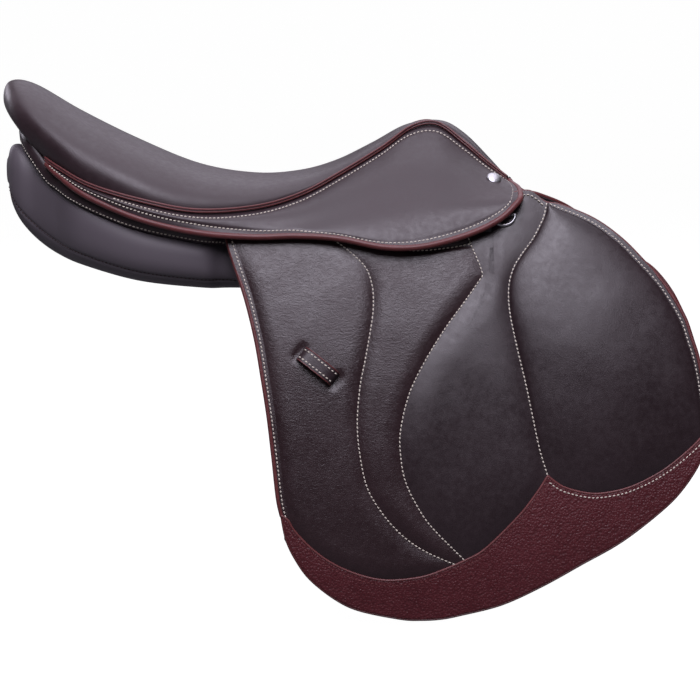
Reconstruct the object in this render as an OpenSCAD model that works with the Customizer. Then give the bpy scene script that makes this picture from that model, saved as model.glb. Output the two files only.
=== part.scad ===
// Jumping saddle, built as its separate leathers, cushions, tree and metal fittings.
// X points to the horse's head, Y to its left and Z up. The origin lies on the line of the spine,
// at the height where the panel bears on the back. Side pieces are drawn on the horse's right.

/* [Seat] */
// Length of the seat from its front foot to the cantle rim
seat_length = 443; // [425:1:460]
// Width of the seat between its two side seams
seat_width = 244; // [236:1:252]
// Height of the cantle rim above the bearing line
seat_height = 189; // [184:1:196]
// Distance of the seat's front foot from the origin
seat_front = 143; // [139:1:147]
// Thickness of the seat leather
seat_leather_t = 2.4; // [1.8:0.1:2.8]
// Radius of the piping in the seat seam
piping_r = 1.8; // [1.5:0.1:2.1]

/* [Tree] */
// Thickness of the moulded tree
tree_t = 8; // [6:0.5:10]
// Thickness of the seat web
web_t = 1.5; // [1:0.1:1.8]
// Width of the two spring steels under the tree's rails
spring_w = 9; // [6:0.5:12]
// Thickness of a spring steel
spring_t = 1.4; // [1:0.1:2]
// Share of the seat's height by which the head plate's arch lies below the tree's pommel
arch_drop_share = 0.0533; // [0.05:0.0005:0.058]
// Distance of the head plate's shoulders from the middle
arch_half = 42; // [40:0.5:43]
// Length of the head plate along the horse
head_plate_length = 28; // [24:1:30]
// Share of the seat's length from the tree's pommel forward to the head plate's middle
head_plate_ahead_share = 0.0138; // [0.008:0.0002:0.018]
// Thickness of the head plate
head_plate_t = 3; // [2.5:0.1:3.5]
// Height of the arms' feet above the bearing line
point_foot = 38.6; // [37:0.2:46]
// Angle of each arm from upright
point_lean = 40; // [38:0.5:42]

/* [Skirt] */
// Thickness of the skirt leather
skirt_t = 2.8; // [2:0.1:3.2]
// Swell of the skirt between its edges
skirt_swell = 7; // [5:0.5:8]
// Radius of the rolled binding on the skirt's edge
binding_r = 2.6; // [2:0.1:3]
// Radius of the nail's round head
nail_r = 6.2; // [5:0.1:7]

/* [Flap] */
// Width of the flap along the horse
flap_width = 394; // [384:1:404]
// Length of the flap below its fold, measured on the leather
flap_drop = 294; // [280:1:300]
// Distance of the flap's front edge from the origin
flap_front = 292; // [286:1:298]
// Distance between the inner faces of the two flaps at the fold
flap_spread = 246; // [242:1:252]
// Height of the fold above the bearing line
fold_height = 38; // [36:0.5:40]
// Angle of the flap from upright at the fold
flap_lean = 21; // [19:0.5:23]
// Radius of the horse's side that the flap follows
barrel_radius = 850; // [800:10:900]
// Thickness of the flap's base leather
flap_t = 3; // [2.5:0.1:3.5]
// Thickness of the fixed flap head
flap_head_t = 5; // [4:0.1:5.5]
// Rise of the flap's padded leather above the base
flap_pad = 3.4; // [2.5:0.1:4]
// Rise of the knee pad above the base
knee_pad_rise = 9; // [6:0.5:11]
// Thickness of the guard on the flap's lower edge
guard_t = 2.2; // [1.6:0.1:2.6]

/* [Keeper] */
// Length of the keeper loop
keeper_length = 38; // [32:1:42]
// Width of the keeper's strip
keeper_width = 12; // [9:0.5:14]
// Clear height under the keeper
keeper_gap = 7; // [6:0.5:8]
// Thickness of the keeper's strip
keeper_t = 2.2; // [1.6:0.1:2.6]
// Angle of the keeper below level
keeper_turn = 38; // [30:1:45]

/* [Girth straps] */
// Width of a girth strap
strap_w = 28; // [24:1:30]
// Thickness of a girth strap
strap_t = 4; // [3:0.1:4.2]
// Length of a girth strap below its rivet
strap_length = 236; // [210:2:250]
// Number of punched holes in a strap
strap_holes = 9; // [5:1:11]
// Distance between two punched holes
hole_pitch = 20; // [18:0.5:22]
// Radius of a punched hole
hole_r = 2.6; // [2:0.1:3]
// Radius of the rivet that a strap hangs on
rivet_r = 3; // [2.5:0.1:3.5]
// Thickness of the girth web and of the sweat flap's facing
girth_web_t = 1.5; // [1:0.1:2]
// Thickness of the sweat flap
sweat_flap_t = 3; // [2.5:0.1:3.5]

/* [Stirrup bar] */
// Length of the bar's blade
blade_length = 62; // [54:1:66]
// Height of the blade
blade_h = 11; // [9:0.5:12]
// Thickness of the blade
blade_t = 6; // [5:0.1:6.5]
// Room between the blade and its base plate
bar_gap = 10; // [8:0.5:11]
// Thickness of the base plate
bar_plate_t = 4; // [3:0.1:4.5]
// Length of the thumb catch behind the blade
catch_length = 20; // [16:1:22]
// Radius of the catch's pin
catch_pin_r = 1.5; // [1.2:0.1:1.8]

/* [Dee ring] */
// Radius of the ring's wire
dee_wire_r = 1.4; // [1.2:0.1:1.6]
// Radius of the ring's bow to the middle of its wire
dee_bow_r = 9.5; // [8:0.5:10]
// Wall of the leather chape round the ring's bar
chape_t = 1.3; // [1:0.1:1.5]

/* [Panel] */
// Half width of the panel cushion at its widest
panel_half_w = 44; // [41:0.5:46]
// Half depth of the panel cushion at its deepest
panel_half_d = 28; // [25:0.5:29]
// Half height of the rolled band along the panel's upper edge
band_half_h = 6; // [5:0.2:6.5]
// Half thickness of the rolled band
band_half_t = 3.6; // [3:0.1:4]
// Thickness of the lining over the spine channel
lining_t = 2; // [1.5:0.1:2.5]

/* [Fits] */
// Room between neighbouring leathers
clearance = 0.4; // [0.3:0.05:0.5]
// Running room round a pin in its hole
pin_room = 0.05; // [0.02:0.01:0.09]

/* [Hidden] */

// Rows of the seat from its front foot over pommel, dip and cantle to its back seam:
// middle line as shares of seat_length behind the foot and of seat_height
seat_centre_shares = [
    [0.000, 0.53], [0.047, 0.655], [0.097, 0.77], [0.144, 0.825], [0.21, 0.803], [0.278, 0.708],
    [0.35, 0.614], [0.424, 0.56], [0.515, 0.545], [0.628, 0.587], [0.752, 0.709], [0.865, 0.847],
    [0.95, 0.972], [0.993, 0.984], [1.004, 0.92], [0.991, 0.857], [0.973, 0.81],
];
// side seam as shares of seat_length, of half the seat_width and of seat_height
seat_edge_shares = [
    [0.018, 0.525, 0.573], [0.056, 0.426, 0.643], [0.097, 0.328, 0.725], [0.151, 0.254, 0.812],
    [0.205, 0.27, 0.795], [0.264, 0.41, 0.702], [0.341, 0.57, 0.596], [0.418, 0.715, 0.503],
    [0.503, 0.86, 0.449], [0.612, 0.975, 0.437], [0.711, 1.0, 0.481], [0.808, 0.918, 0.545],
    [0.871, 0.795, 0.619], [0.901, 0.705, 0.661], [0.91, 0.672, 0.677], [0.914, 0.656, 0.683],
    [0.916, 0.639, 0.68],
];
// Underside of the seat foam, row for row with the seat
floor_centre_shares = [
    [0.016, 0.476], [0.059, 0.598], [0.104, 0.704], [0.147, 0.746], [0.21, 0.72], [0.278, 0.635],
    [0.35, 0.534], [0.424, 0.476], [0.515, 0.455], [0.628, 0.487], [0.752, 0.593], [0.856, 0.709],
    [0.923, 0.804], [0.944, 0.836], [0.953, 0.841], [0.957, 0.833], [0.959, 0.825],
];
floor_edge_shares = [
    [0.027, 0.459, 0.508], [0.063, 0.361, 0.587], [0.102, 0.262, 0.677], [0.151, 0.197, 0.735],
    [0.205, 0.246, 0.698], [0.264, 0.385, 0.587], [0.341, 0.549, 0.481], [0.418, 0.68, 0.407],
    [0.503, 0.803, 0.376], [0.612, 0.902, 0.381], [0.711, 0.926, 0.429], [0.808, 0.844, 0.492],
    [0.867, 0.73, 0.571], [0.892, 0.656, 0.619], [0.901, 0.623, 0.64], [0.905, 0.607, 0.651],
    [0.907, 0.598, 0.656],
];
// How flat the seat stays across its middle: 1 is an ellipse, less is flatter
seat_flat_share = 0.82;
seat_rows = 26;
seat_columns = 16;
// Places across the inner layers; the tree keeps clear of the outermost ones
layer_place_shares = [-1, -0.85, -0.64, -0.42, -0.21, 0, 0.21, 0.42, 0.64, 0.85, 1];
tree_place_shares = [for (i = [1 : len(layer_place_shares) - 2]) layer_place_shares[i]];
web_place_shares = [for (i = [4 : 6]) layer_place_shares[i]];
// First and last row of the tree, of its open middle, of the seat web and of the spring steels
tree_span = [1, 17];
tree_open_span = [8, 15];
tree_open_columns = [2, 5];
web_span = [5, 18];
spring_span = [8, 17];
// Places across the tree between which the spring steels lie, and their middle there
spring_place_shares = [0.42, 0.64];
spring_middle_share = 0.62;

// Lower edge of the skirt from its rear tip to its front corner, row for row with the seam:
// shares of seat_length, of half the seat_width and of seat_height
skirt_edge_shares = [
    [0.91, 0.69, 0.66], [0.903, 0.725, 0.638], [0.878, 0.81, 0.588], [0.82, 0.96, 0.503],
    [0.72, 1.066, 0.407], [0.616, 1.075, 0.349], [0.51, 1.06, 0.328], [0.422, 1.06, 0.333],
    [0.345, 1.074, 0.32], [0.266, 1.115, 0.286], [0.205, 1.123, 0.283], [0.147, 1.1, 0.307],
    [0.084, 1.066, 0.354], [0.036, 1.04, 0.415], [0.005, 0.985, 0.49],
];
// Row where the skirt's straight fold begins, and the stretch of the fold that the lip fills
lip_start_row = 7;
lip_span_shares = [0.06, 0.94];
// Gap of the lip below the fold
lip_gap = 0.6;
skirt_columns = 6;
binding_sides = 8;
piping_sides = 6;
lip_rows = 16;
lip_columns = 3;
nail_place_shares = [0.945, 0.48];
// Rows of the seat that the skirt and the piping follow
skirt_last_row = 21;

// Flap outlines: shares of flap_width from the rear and of flap_drop below the fold
rear_edge_shares = [
    [0.015, 0], [0.04, 0.1], [0.062, 0.217], [0.077, 0.33], [0.09, 0.441], [0.1, 0.552], [0.109, 0.66],
    [0.117, 0.71],
];
bottom_edge_shares = [
    [0.117, 0.71], [0.127, 0.775], [0.146, 0.83], [0.177, 0.887], [0.23, 0.943], [0.28, 0.974],
    [0.364, 0.997], [0.405, 1], [0.447, 0.997], [0.489, 0.986], [0.573, 0.957], [0.656, 0.906],
    [0.739, 0.844], [0.823, 0.78], [0.906, 0.694], [0.95, 0.633], [0.985, 0.56], [0.995, 0.505],
];
front_edge_shares = [
    [0.88, 0], [0.91, 0.046], [0.938, 0.103], [0.96, 0.16], [0.973, 0.217], [0.986, 0.28], [0.997, 0.38],
    [0.999, 0.44], [0.995, 0.505],
];
// Seam between the rear and the centre pad, from the fold down
rear_seam_shares = [
    [0.28, 0], [0.308, 0.078], [0.305, 0.166], [0.292, 0.268], [0.28, 0.352], [0.274, 0.452],
    [0.279, 0.538], [0.294, 0.63], [0.324, 0.7], [0.366, 0.763], [0.414, 0.808], [0.478, 0.846],
];
// Seam between the centre and the calf pad
calf_seam_shares = [
    [0.528, 0], [0.537, 0.037], [0.501, 0.109], [0.458, 0.189], [0.415, 0.282], [0.382, 0.374],
    [0.364, 0.474], [0.364, 0.544], [0.374, 0.616], [0.399, 0.685], [0.43, 0.744], [0.497, 0.834],
];
// Seam between the calf and the knee pad
knee_seam_shares = [
    [0.605, 0], [0.592, 0.07], [0.593, 0.138], [0.605, 0.228], [0.623, 0.335], [0.637, 0.427],
    [0.652, 0.524], [0.669, 0.6],
];
// Upper edge of the guard below the rear, centre, calf and knee pads
guard_rear_shares = [
    [0.117, 0.71], [0.13, 0.722], [0.14, 0.745], [0.157, 0.772], [0.18, 0.802], [0.211, 0.833],
    [0.246, 0.858], [0.29, 0.879], [0.334, 0.889], [0.378, 0.886], [0.422, 0.875], [0.478, 0.846],
];
guard_centre_shares = [[0.478, 0.846], [0.497, 0.834]];
guard_calf_shares = [
    [0.497, 0.834], [0.53, 0.811], [0.566, 0.769], [0.616, 0.7], [0.651, 0.638], [0.669, 0.6],
];
guard_knee_shares = [
    [0.669, 0.6], [0.701, 0.63], [0.749, 0.647], [0.787, 0.647], [0.841, 0.63], [0.904, 0.588],
    [0.958, 0.533], [0.995, 0.485],
];
// Fixed head above the fold: its straight rear, then its curve over the front arch to its front corner
head_rear_shares = [[-0.003, -0.01], [-0.003, -0.088]];
head_front_shares = [
    [0.558, -0.088], [0.562, -0.17], [0.6, -0.205], [0.642, -0.213], [0.673, -0.18], [0.705, -0.171],
    [0.774, -0.13], [0.832, -0.07], [0.872, -0.014],
];
// Sweat flap, from its rear upper corner over the top, down the front and back along the bottom
sweat_top_shares = [[0.07, -0.03], [0.8, -0.03], [0.862, -0.082]];
sweat_front_shares = [
    [0.862, -0.082], [0.9, -0.025], [0.936, 0.05], [0.963, 0.127], [0.98, 0.192], [0.99, 0.265],
    [0.982, 0.4], [0.93, 0.55],
];
sweat_bottom_shares = [
    [0.93, 0.55], [0.84, 0.69], [0.68, 0.81], [0.52, 0.885], [0.38, 0.91], [0.25, 0.87], [0.165, 0.76],
    [0.13, 0.55], [0.105, 0.33], [0.085, 0.15], [0.07, -0.03],
];
// Sample places across a pad, close together at its rolled edges
pad_across_shares = [0.012, 0.05, 0.13, 0.3, 0.5, 0.7, 0.87, 0.95, 0.988];
pad_down_shares = [0.012, 0.045, 0.1, 0.2, 0.32, 0.44, 0.56, 0.68, 0.79, 0.89, 0.94, 0.965];
// Thickness of a pad's leather at its sewn edge
pad_edge_t = 1.2;
// How square a pad's crown is; the knee pad is rounder
pad_square = 6;
knee_pad_round = 2.6;
knee_front_reach_share = 0.92;
edge_steps = 24;
guard_steps = 18;
keeper_place_shares = [0.192, 0.297];
keeper_corner = 4;

// Sewn faces that lie on each other
sewn_room = 0.1;
// How far a cut runs past the face that it opens
cut_over = 1;
rivet_head_t = 1.2;
rivet_head_share = 2;
strap_tip = 14;
strap_top = 16;
first_hole = 56;
// Room between the outer straps and the middle one, which pass each other when they swing
strap_room = 1;
// Layers under the flap, counted outward from its inner face
strap_out_a = -2 * clearance - rivet_head_t;
strap_out_b = strap_out_a - strap_t - strap_room;
web_out = strap_out_b - strap_t - clearance;
sweat_out = web_out - girth_web_t - clearance;
fold_gap = 0.4;
// Places of the rear, middle and front strap along the horse and their rivets below the fold
strap_pitch = 34;
strap_middle_x = -6;
rivet_drop = 6;
// Ends of the girth web along the horse, and how far it hangs below and rises above the fold
girth_web_margin = 5;
girth_web_low = 22;
girth_web_high = -13;
girth_web_rows = 8;
// Stretch of the tree's edge that the web can lean to, and steps in which it is looked up
tree_edge_span = [0.25, 0.6];
tree_edge_steps = 40;

// Head plate arch: its radius follows from the shoulders and the lean of the arms
arch_r = arch_half / cos(point_lean);
arch_steps = 20;
pommel_row = 3;
tree_depth = 2 * clearance + web_t;
arch_height = (floor_centre_shares[pommel_row][1] - arch_drop_share) * seat_height - tree_depth - tree_t;
arch_centre_z = arch_height - arch_r;
shoulder_z = arch_centre_z + arch_r * sin(point_lean);
point_length = (shoulder_z - point_foot) / cos(point_lean);
head_plate_x = seat_x(floor_centre_shares[pommel_row][0] - head_plate_ahead_share);
head_plate_back = head_plate_x - head_plate_length / 2;
head_plate_front = head_plate_x + head_plate_length / 2;
// Stirrup bar, measured up the arm: the blade from the arm's foot, the plate and its rivets from the blade
blade_rise = 26;
blade_middle = blade_rise - point_length;
bar_plate_below = 10;
bar_plate_above = 22;
bar_rivet_above = 14;
bar_plate_low = blade_middle - bar_plate_below;
bar_plate_high = blade_middle + bar_plate_above;
bar_overhang = 2;
bar_front = head_plate_front + bar_overhang;
bar_post = 12;
bar_corner = 7;
bar_rivet_r = 2.4;
bar_rivet_level = blade_middle + bar_rivet_above;
bar_rivet_pitch = 15;
bar_rivet_places = [for (side = [-1, 1]) head_plate_x + side * bar_rivet_pitch / 2];
bar_rivet_head_t = 1.4;
blade_out = bar_plate_t + bar_gap;
blade_back = bar_front - blade_length;
catch_slot = 10;
catch_t = 2;
catch_eye_share = 0.4;
catch_eye_r = catch_eye_share * catch_slot;
catch_pin_x = blade_back + catch_slot / 2;
catch_tip_x = catch_pin_x - catch_length - catch_eye_r;
// The girth web leans to the tree up to just behind the catch
girth_web_room = 9;
girth_web_lean_end = catch_tip_x - girth_web_room;

// Dee ring at the front corner of the skirt
// its bar lies a little above the skirt's edge there
dee_x = 128;
dee_row = 13;
dee_rise = 0.565;
dee_drop = fold_height - skirt_edge_shares[dee_row][2] * seat_height - dee_rise;
chape_r = dee_wire_r + pin_room + chape_t;
dee_h = flap_head_t + sewn_room + chape_r;
chape_w = 13;
chape_tail = 9;

// Panel cushion stations from the rear end to the front end:
// share of seat_length, then distance from the middle and height of the section's centre in shares of
// half the flap_spread and of seat_height, half width and half depth in shares of their sizes, and tilt
panel_shares = [
    [0.988, 0.36, 0.6, 0.12, 0.3, 0], [0.98, 0.37, 0.59, 0.32, 0.64, 0],
    [0.962, 0.38, 0.56, 0.44, 0.88, 0], [0.93, 0.4, 0.5, 0.5, 0.98, 0],
    [0.887, 0.47, 0.42, 0.62, 1.0, 0], [0.831, 0.57, 0.35, 0.85, 0.98, 0],
    [0.725, 0.634, 0.262, 1.0, 0.95, 0], [0.605, 0.62, 0.21, 1.0, 0.88, 0],
    [0.55, 0.565, 0.197, 0.85, 0.82, 0], [0.413, 0.54, 0.172, 0.8, 0.62, 10],
    [0.278, 0.52, 0.172, 0.78, 0.52, 24], [0.165, 0.52, 0.185, 0.86, 0.46, 40],
    [0.075, 0.545, 0.18, 0.95, 0.44, 44], [-0.016, 0.575, 0.175, 0.78, 0.38, 44],
    [-0.04, 0.58, 0.175, 0.5, 0.2, 44],
];
panel_rows = 24;
panel_sides = 14;
panel_square_share = 0.77;
// Stretch of the panel that the band follows, and where on the section it sits
band_span_shares = [0.27, 0.62];
band_turn = 40;
band_back_shares = [[0.946, 0.55, 0.688], [0.966, 0.29, 0.745], [0.973, 0, 0.765]];
band_rows = 12;
band_sides = 8;
lining_span_shares = [0.2, 0.9];
lining_turn = 165;
lining_rows = 12;

// General shapes
function unit(v) = v / norm(v);
function mix(a, b, t) = a + (b - a) * t;
function pick(span, t) = mix(span[0], span[1], t);
// Smooth curve through a list of points, with t from 0 to 1
function spline(p, t) =
    let (n = len(p) - 1, s = min(max(t, 0), 1) * n, i = min(floor(s), n - 1), f = s - i)
    let (a = p[max(i - 1, 0)], b = p[i], c = p[i + 1], d = p[min(i + 2, n)])
    b + f * ((c - a) / 2 + f * (a - 2.5 * b + 2 * c - d / 2 + f * (1.5 * (b - c) + (d - a) / 2)));
function reversed(p) = [for (i = [len(p) - 1 : -1 : 0]) p[i]];
function flipped(faces) = [for (f = faces) [f[2], f[1], f[0]]];

// Closed solid between two equal grids of points, without the cells that keep() turns down
module sheet(outer, inner, keep = function(i, j) true) {
    m = len(outer) - 1;
    n = len(outer[0]) - 1;
    k = (m + 1) * (n + 1);
    a = floor(m / 2);
    b = floor(n / 2);
    function at(i, j) = i * (n + 1) + j;
    function has(i, j) = i >= 0 && j >= 0 && i < m && j < n && keep(i, j);
    function wall(p, q) = [[q, p, p + k], [q, p + k, q + k]];
    cells = [for (i = [0 : m - 1], j = [0 : n - 1]) if (keep(i, j)) [i, j]];
    skins = [for (c = cells, f = [[[0, 0], [0, 1], [1, 1]], [[0, 0], [1, 1], [1, 0]]])
        [for (v = f) at(c[0] + v[0], c[1] + v[1])]];
    backs = [for (f = skins) [f[2] + k, f[1] + k, f[0] + k]];
    rims = [for (c = cells) let (i = c[0], j = c[1]) each [
        each has(i - 1, j) ? [] : wall(at(i, j), at(i, j + 1)),
        each has(i, j + 1) ? [] : wall(at(i, j + 1), at(i + 1, j + 1)),
        each has(i + 1, j) ? [] : wall(at(i + 1, j + 1), at(i + 1, j)),
        each has(i, j - 1) ? [] : wall(at(i + 1, j), at(i, j)),
    ]];
    faces = concat(skins, backs, rims);
    corner = outer[a][b];
    turn = cross(outer[a + 1][b] - corner, outer[a][b + 1] - corner) * (corner - inner[a][b]);
    points = [for (layer = [outer, inner]) each [for (row = layer) each row]];
    polyhedron(points, turn > 0 ? faces : flipped(faces));
}

// Closed solid through a row of rings with the same number of points
module loft(rings) {
    m = len(rings) - 1;
    n = len(rings[0]);
    mid = floor(m / 2);
    sides = [for (i = [0 : m - 1], j = [0 : n - 1])
        let (a = i * n + j, b = i * n + (j + 1) % n) each [[a, b, b + n], [a, b + n, a + n]]];
    ends = [for (j = [1 : n - 2]) each [[0, j + 1, j], [m * n, m * n + j, m * n + j + 1]]];
    ring = rings[mid];
    along = rings[mid + 1][0] - ring[0];
    third = floor(n / 3);
    turn = cross(ring[third] - ring[0], ring[2 * third] - ring[0]) * along;
    faces = concat(sides, ends);
    polyhedron([for (r = rings) each r], turn > 0 ? flipped(faces) : faces);
}

// Rings of an oval rope along a path: wide across, high along the up direction
function rope(path, wide, high, up, count) =
    let (last = len(path) - 1)
    [for (i = [0 : last])
        let (t = unit(path[min(i + 1, last)] - path[max(i - 1, 0)]), u = unit(cross(up, t)), v = cross(t, u))
        [for (k = [0 : count - 1]) let (a = 360 * k / count)
            path[i] + wide * cos(a) * u + high * sin(a) * v]];

// Seat surfaces, drawn for both sides: t runs from the front foot to the back seam, w from -1 to 1
function seat_x(share) = seat_front - share * seat_length;
function seat_mid(table, t) = let (p = spline(table, t)) [seat_x(p[0]), 0, p[1] * seat_height];
function seat_side(table, t) =
    let (p = spline(table, t)) [seat_x(p[0]), -p[1] * seat_width / 2, p[2] * seat_height];
function across(c, e, w) =
    let (f = pow(cos(90 * abs(w)), seat_flat_share))
    [mix(e[0], c[0], f), e[1] * sin(90 * w), mix(e[2], c[2], f)];
// Direction square to the seat's middle line, pointing out of the leather
function seat_out(t) =
    let (d = 0.01, v = seat_mid(seat_centre_shares, t + d) - seat_mid(seat_centre_shares, t - d))
    unit([v[2], 0, -v[0]]);
function seat_layer(t, w, depth) =
    let (c = seat_mid(seat_centre_shares, t) - depth * seat_out(t))
    let (e = seat_side(seat_edge_shares, t) + depth * [0, 1, -0.5])
    across(c, e, w);
function floor_layer(t, w, depth) =
    across(seat_mid(floor_centre_shares, t), seat_side(floor_edge_shares, t), w) - [0, 0, depth];
function grid(rows, columns, f) =
    [for (i = [0 : rows]) [for (j = [0 : columns]) f(i / rows, j / columns)]];

module seat_leather() {
    top = grid(seat_rows, seat_columns, function(a, b) seat_layer(a, 2 * b - 1, 0));
    under = grid(seat_rows, seat_columns, function(a, b) seat_layer(a, 2 * b - 1, seat_leather_t));
    color("#4a444a") sheet(top, under);
}

// Layer under the foam: between two rows of the seat, at the given places across
function floor_rows(span, places, depth) =
    [for (i = [span[0] : span[1]]) [for (w = places) floor_layer(i / seat_rows, w, depth)]];

module seat_foam() {
    depth = seat_leather_t + 2 * clearance;
    top = [for (i = [0 : seat_rows]) [for (w = layer_place_shares) seat_layer(i / seat_rows, w, depth)]];
    color("#d8c9a0") sheet(top, floor_rows([0, seat_rows], layer_place_shares, 0));
}

module seat_web() {
    color("#c9c2b0") sheet(floor_rows(web_span, web_place_shares, clearance),
        floor_rows(web_span, web_place_shares, clearance + web_t));
}

module tree() {
    open = function(i, j) i < tree_open_span[0] || i >= tree_open_span[1]
        || j < tree_open_columns[0] || j > tree_open_columns[1];
    color("#3a3a3c") sheet(floor_rows(tree_span, tree_place_shares, tree_depth),
        floor_rows(tree_span, tree_place_shares, tree_depth + tree_t), open);
}

module tree_springs() {
    depth = tree_depth + tree_t + clearance;
    function strip(d) = [for (i = [spring_span[0] : spring_span[1]])
        let (a = floor_layer(i / seat_rows, spring_place_shares[0], d))
        let (b = floor_layer(i / seat_rows, spring_place_shares[1], d), half = spring_w / 2 * unit(b - a))
        let (middle = mix(a, b, spring_middle_share)) [middle - half, middle + half]];
    color("#9a9da1") for (side = [0, 1]) mirror([0, side, 0]) sheet(strip(depth), strip(depth + spring_t));
}

// Frame on the outer face of the head plate's right arm: Y up the arm from its shoulder, Z outward
module on_arm() {
    translate([0, -arch_half, shoulder_z]) rotate([90 - point_lean, 0, 0]) children();
}

// Line over the arch at a radius, from the foot of one arm to the foot of the other
function arch_line(r) =
    let (foot = r * [-cos(point_lean), sin(point_lean)] - point_length * [sin(point_lean), cos(point_lean)])
    let (bow = [for (i = [0 : arch_steps]) let (a = mix(180 - point_lean, point_lean, i / arch_steps))
        r * [cos(a), sin(a)]])
    concat([foot], bow, [[-foot[0], foot[1]]]);

module head_plate() {
    color("#7d8085") difference() {
        translate([head_plate_back, 0, arch_centre_z]) rotate([90, 0, 90]) linear_extrude(head_plate_length)
            polygon(concat(arch_line(arch_r), reversed(arch_line(arch_r - head_plate_t))));
        for (side = [0, 1]) mirror([0, side, 0]) on_arm() bar_rivet_holes();
    }
}

module at_bar_rivets() {
    for (x = bar_rivet_places) translate([x, bar_rivet_level, 0]) children();
}

module bar_rivet_holes() {
    at_bar_rivets() translate([0, 0, -2 * head_plate_t])
        cylinder(r = bar_rivet_r + pin_room, h = 4 * head_plate_t + bar_plate_t, $fn = 32);
}

module tree_rivets() {
    low = -head_plate_t - sewn_room;
    high = bar_plate_t + 2 * sewn_room;
    head_r = rivet_head_share * bar_rivet_r;
    color("#b0b3b8") for (side = [0, 1]) mirror([0, side, 0]) on_arm() at_bar_rivets() {
        translate([0, 0, low - bar_rivet_head_t]) cylinder(r = head_r, h = bar_rivet_head_t, $fn = 32);
        translate([0, 0, low]) cylinder(r = bar_rivet_r, h = high - low, $fn = 32);
        translate([0, 0, high]) cylinder(r = head_r, h = bar_rivet_head_t, $fn = 32);
    }
}

// Right stirrup bar: plate, front post and forked blade, with the catch's pin across the fork
module stirrup_bar() {
    low = blade_middle - blade_h / 2;
    reach = blade_out + blade_t;
    slot = catch_t + 2 * clearance;
    slot_z = blade_out + (blade_t - slot) / 2;
    color("#c4c7cb") on_arm() {
        difference() {
            union() {
                translate([blade_back, bar_plate_low, sewn_room])
                    cube([blade_length, bar_plate_high - bar_plate_low, bar_plate_t]);
                translate([0, low + blade_h, 0]) rotate([90, 0, 0]) linear_extrude(blade_h) union() {
                    translate([blade_back, blade_out]) square([blade_length - bar_corner, blade_t]);
                    translate([bar_front - bar_post, bar_plate_t])
                        square([bar_post, reach - bar_plate_t - bar_corner]);
                    translate([bar_front - bar_post, blade_out])
                        square([bar_post - bar_corner, blade_t]);
                    translate([bar_front - bar_corner, reach - bar_corner]) circle(bar_corner, $fn = 48);
                }
            }
            translate([blade_back - cut_over, low - cut_over, slot_z])
                cube([catch_slot + cut_over, blade_h + 2 * cut_over, slot]);
            bar_rivet_holes();
        }
        translate([catch_pin_x, blade_middle, blade_out]) cylinder(r = catch_pin_r, h = blade_t, $fn = 32);
    }
}

// Right thumb catch: an eye on the pin and a lever that points straight back
module bar_catch() {
    base = blade_out + (blade_t - catch_t) / 2;
    color("#b5b8bd") on_arm() translate([catch_pin_x, blade_middle, base]) difference() {
        union() {
            cylinder(r = catch_eye_r, h = catch_t, $fn = 48);
            translate([-catch_length, -catch_eye_r, 0]) cube([catch_length, 2 * catch_eye_r, catch_t]);
            translate([-catch_length, 0, 0]) cylinder(r = catch_eye_r, h = catch_t, $fn = 48);
        }
        translate([0, 0, -cut_over])
            cylinder(r = catch_pin_r + pin_room, h = catch_t + 2 * cut_over, $fn = 32);
    }
}

// Skirt surface on the right: t from the rear tip to the front corner, w from seam to lower edge
last_row = len(skirt_edge_shares) - 1;
skirt_rows_of_seat = [for (i = [last_row : -1 : 0]) seat_edge_shares[i]];
lip_start = lip_start_row / last_row;
// The skirt's t at the seat's own rows, from the rear to the front
skirt_places = [for (i = [skirt_last_row : -1 : 0])
    1 - i / seat_rows * (len(seat_edge_shares) - 1) / last_row];
function skirt_seam(t) = seat_side(skirt_rows_of_seat, t) - [0, sewn_room, 2 * (piping_r + clearance)];
function skirt_edge(t) = seat_side(skirt_edge_shares, t);
// Straight fold between the two ends of the lip
function skirt_fold(u) = mix(skirt_edge(lip_start), skirt_edge(1), u);
function lip_place(t) = (t - lip_start) / (1 - lip_start);
function skirt_low(t) = t < lip_start ? skirt_edge(t) : skirt_fold(lip_place(t));
function skirt_flat(t, w) = mix(skirt_seam(t), skirt_low(t), w);
function outward(v) = unit(v[1] > 0 ? -v : v);
// Outward directions of the skirt, of the lip below its fold, and halfway between them at the fold
function skirt_out(t) =
    let (d = 0.02, a = skirt_flat(min(t + d, 1), 0.5) - skirt_flat(max(t - d, 0), 0.5))
    outward(cross(a, skirt_flat(t, 1) - skirt_flat(t, 0)));
function lip_drop(u) = skirt_edge(mix(lip_start, 1, u)) - skirt_fold(u);
function lip_out(u) = outward(cross(skirt_fold(1) - skirt_fold(0), lip_drop(u)));
function fold_out(u) = unit(skirt_out(mix(lip_start, 1, u)) + lip_out(min(max(u, 0.05), 0.95)));
function skirt_point(t, w, depth = 0) =
    let (out = t <= lip_start ? skirt_out(t) : unit(mix(skirt_out(t), fold_out(lip_place(t)), w)))
    skirt_flat(t, w) + skirt_swell * min(1, 4 * t) * pow(sin(180 * w), 2) * skirt_out(t) - depth * out;
// Lip: straight from the fold to the lower edge
function lip_point(u, w, depth = 0) =
    skirt_fold(u) + lip_drop(u) * mix(lip_gap / norm(lip_drop(u)), 1, w)
        - depth * unit(mix(fold_out(u), lip_out(u), w));

module skirt() {
    function layer(d) = [for (t = skirt_places)
        [for (j = [0 : skirt_columns]) skirt_point(t, j / skirt_columns, d)]];
    color("#3f3a40") sheet(layer(0), layer(skirt_t));
}

module skirt_lip() {
    function layer(d) = grid(lip_rows, lip_columns, function(a, b) lip_point(pick(lip_span_shares, a), b, d));
    color("#3f3a40") sheet(layer(0), layer(skirt_t));
}

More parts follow.
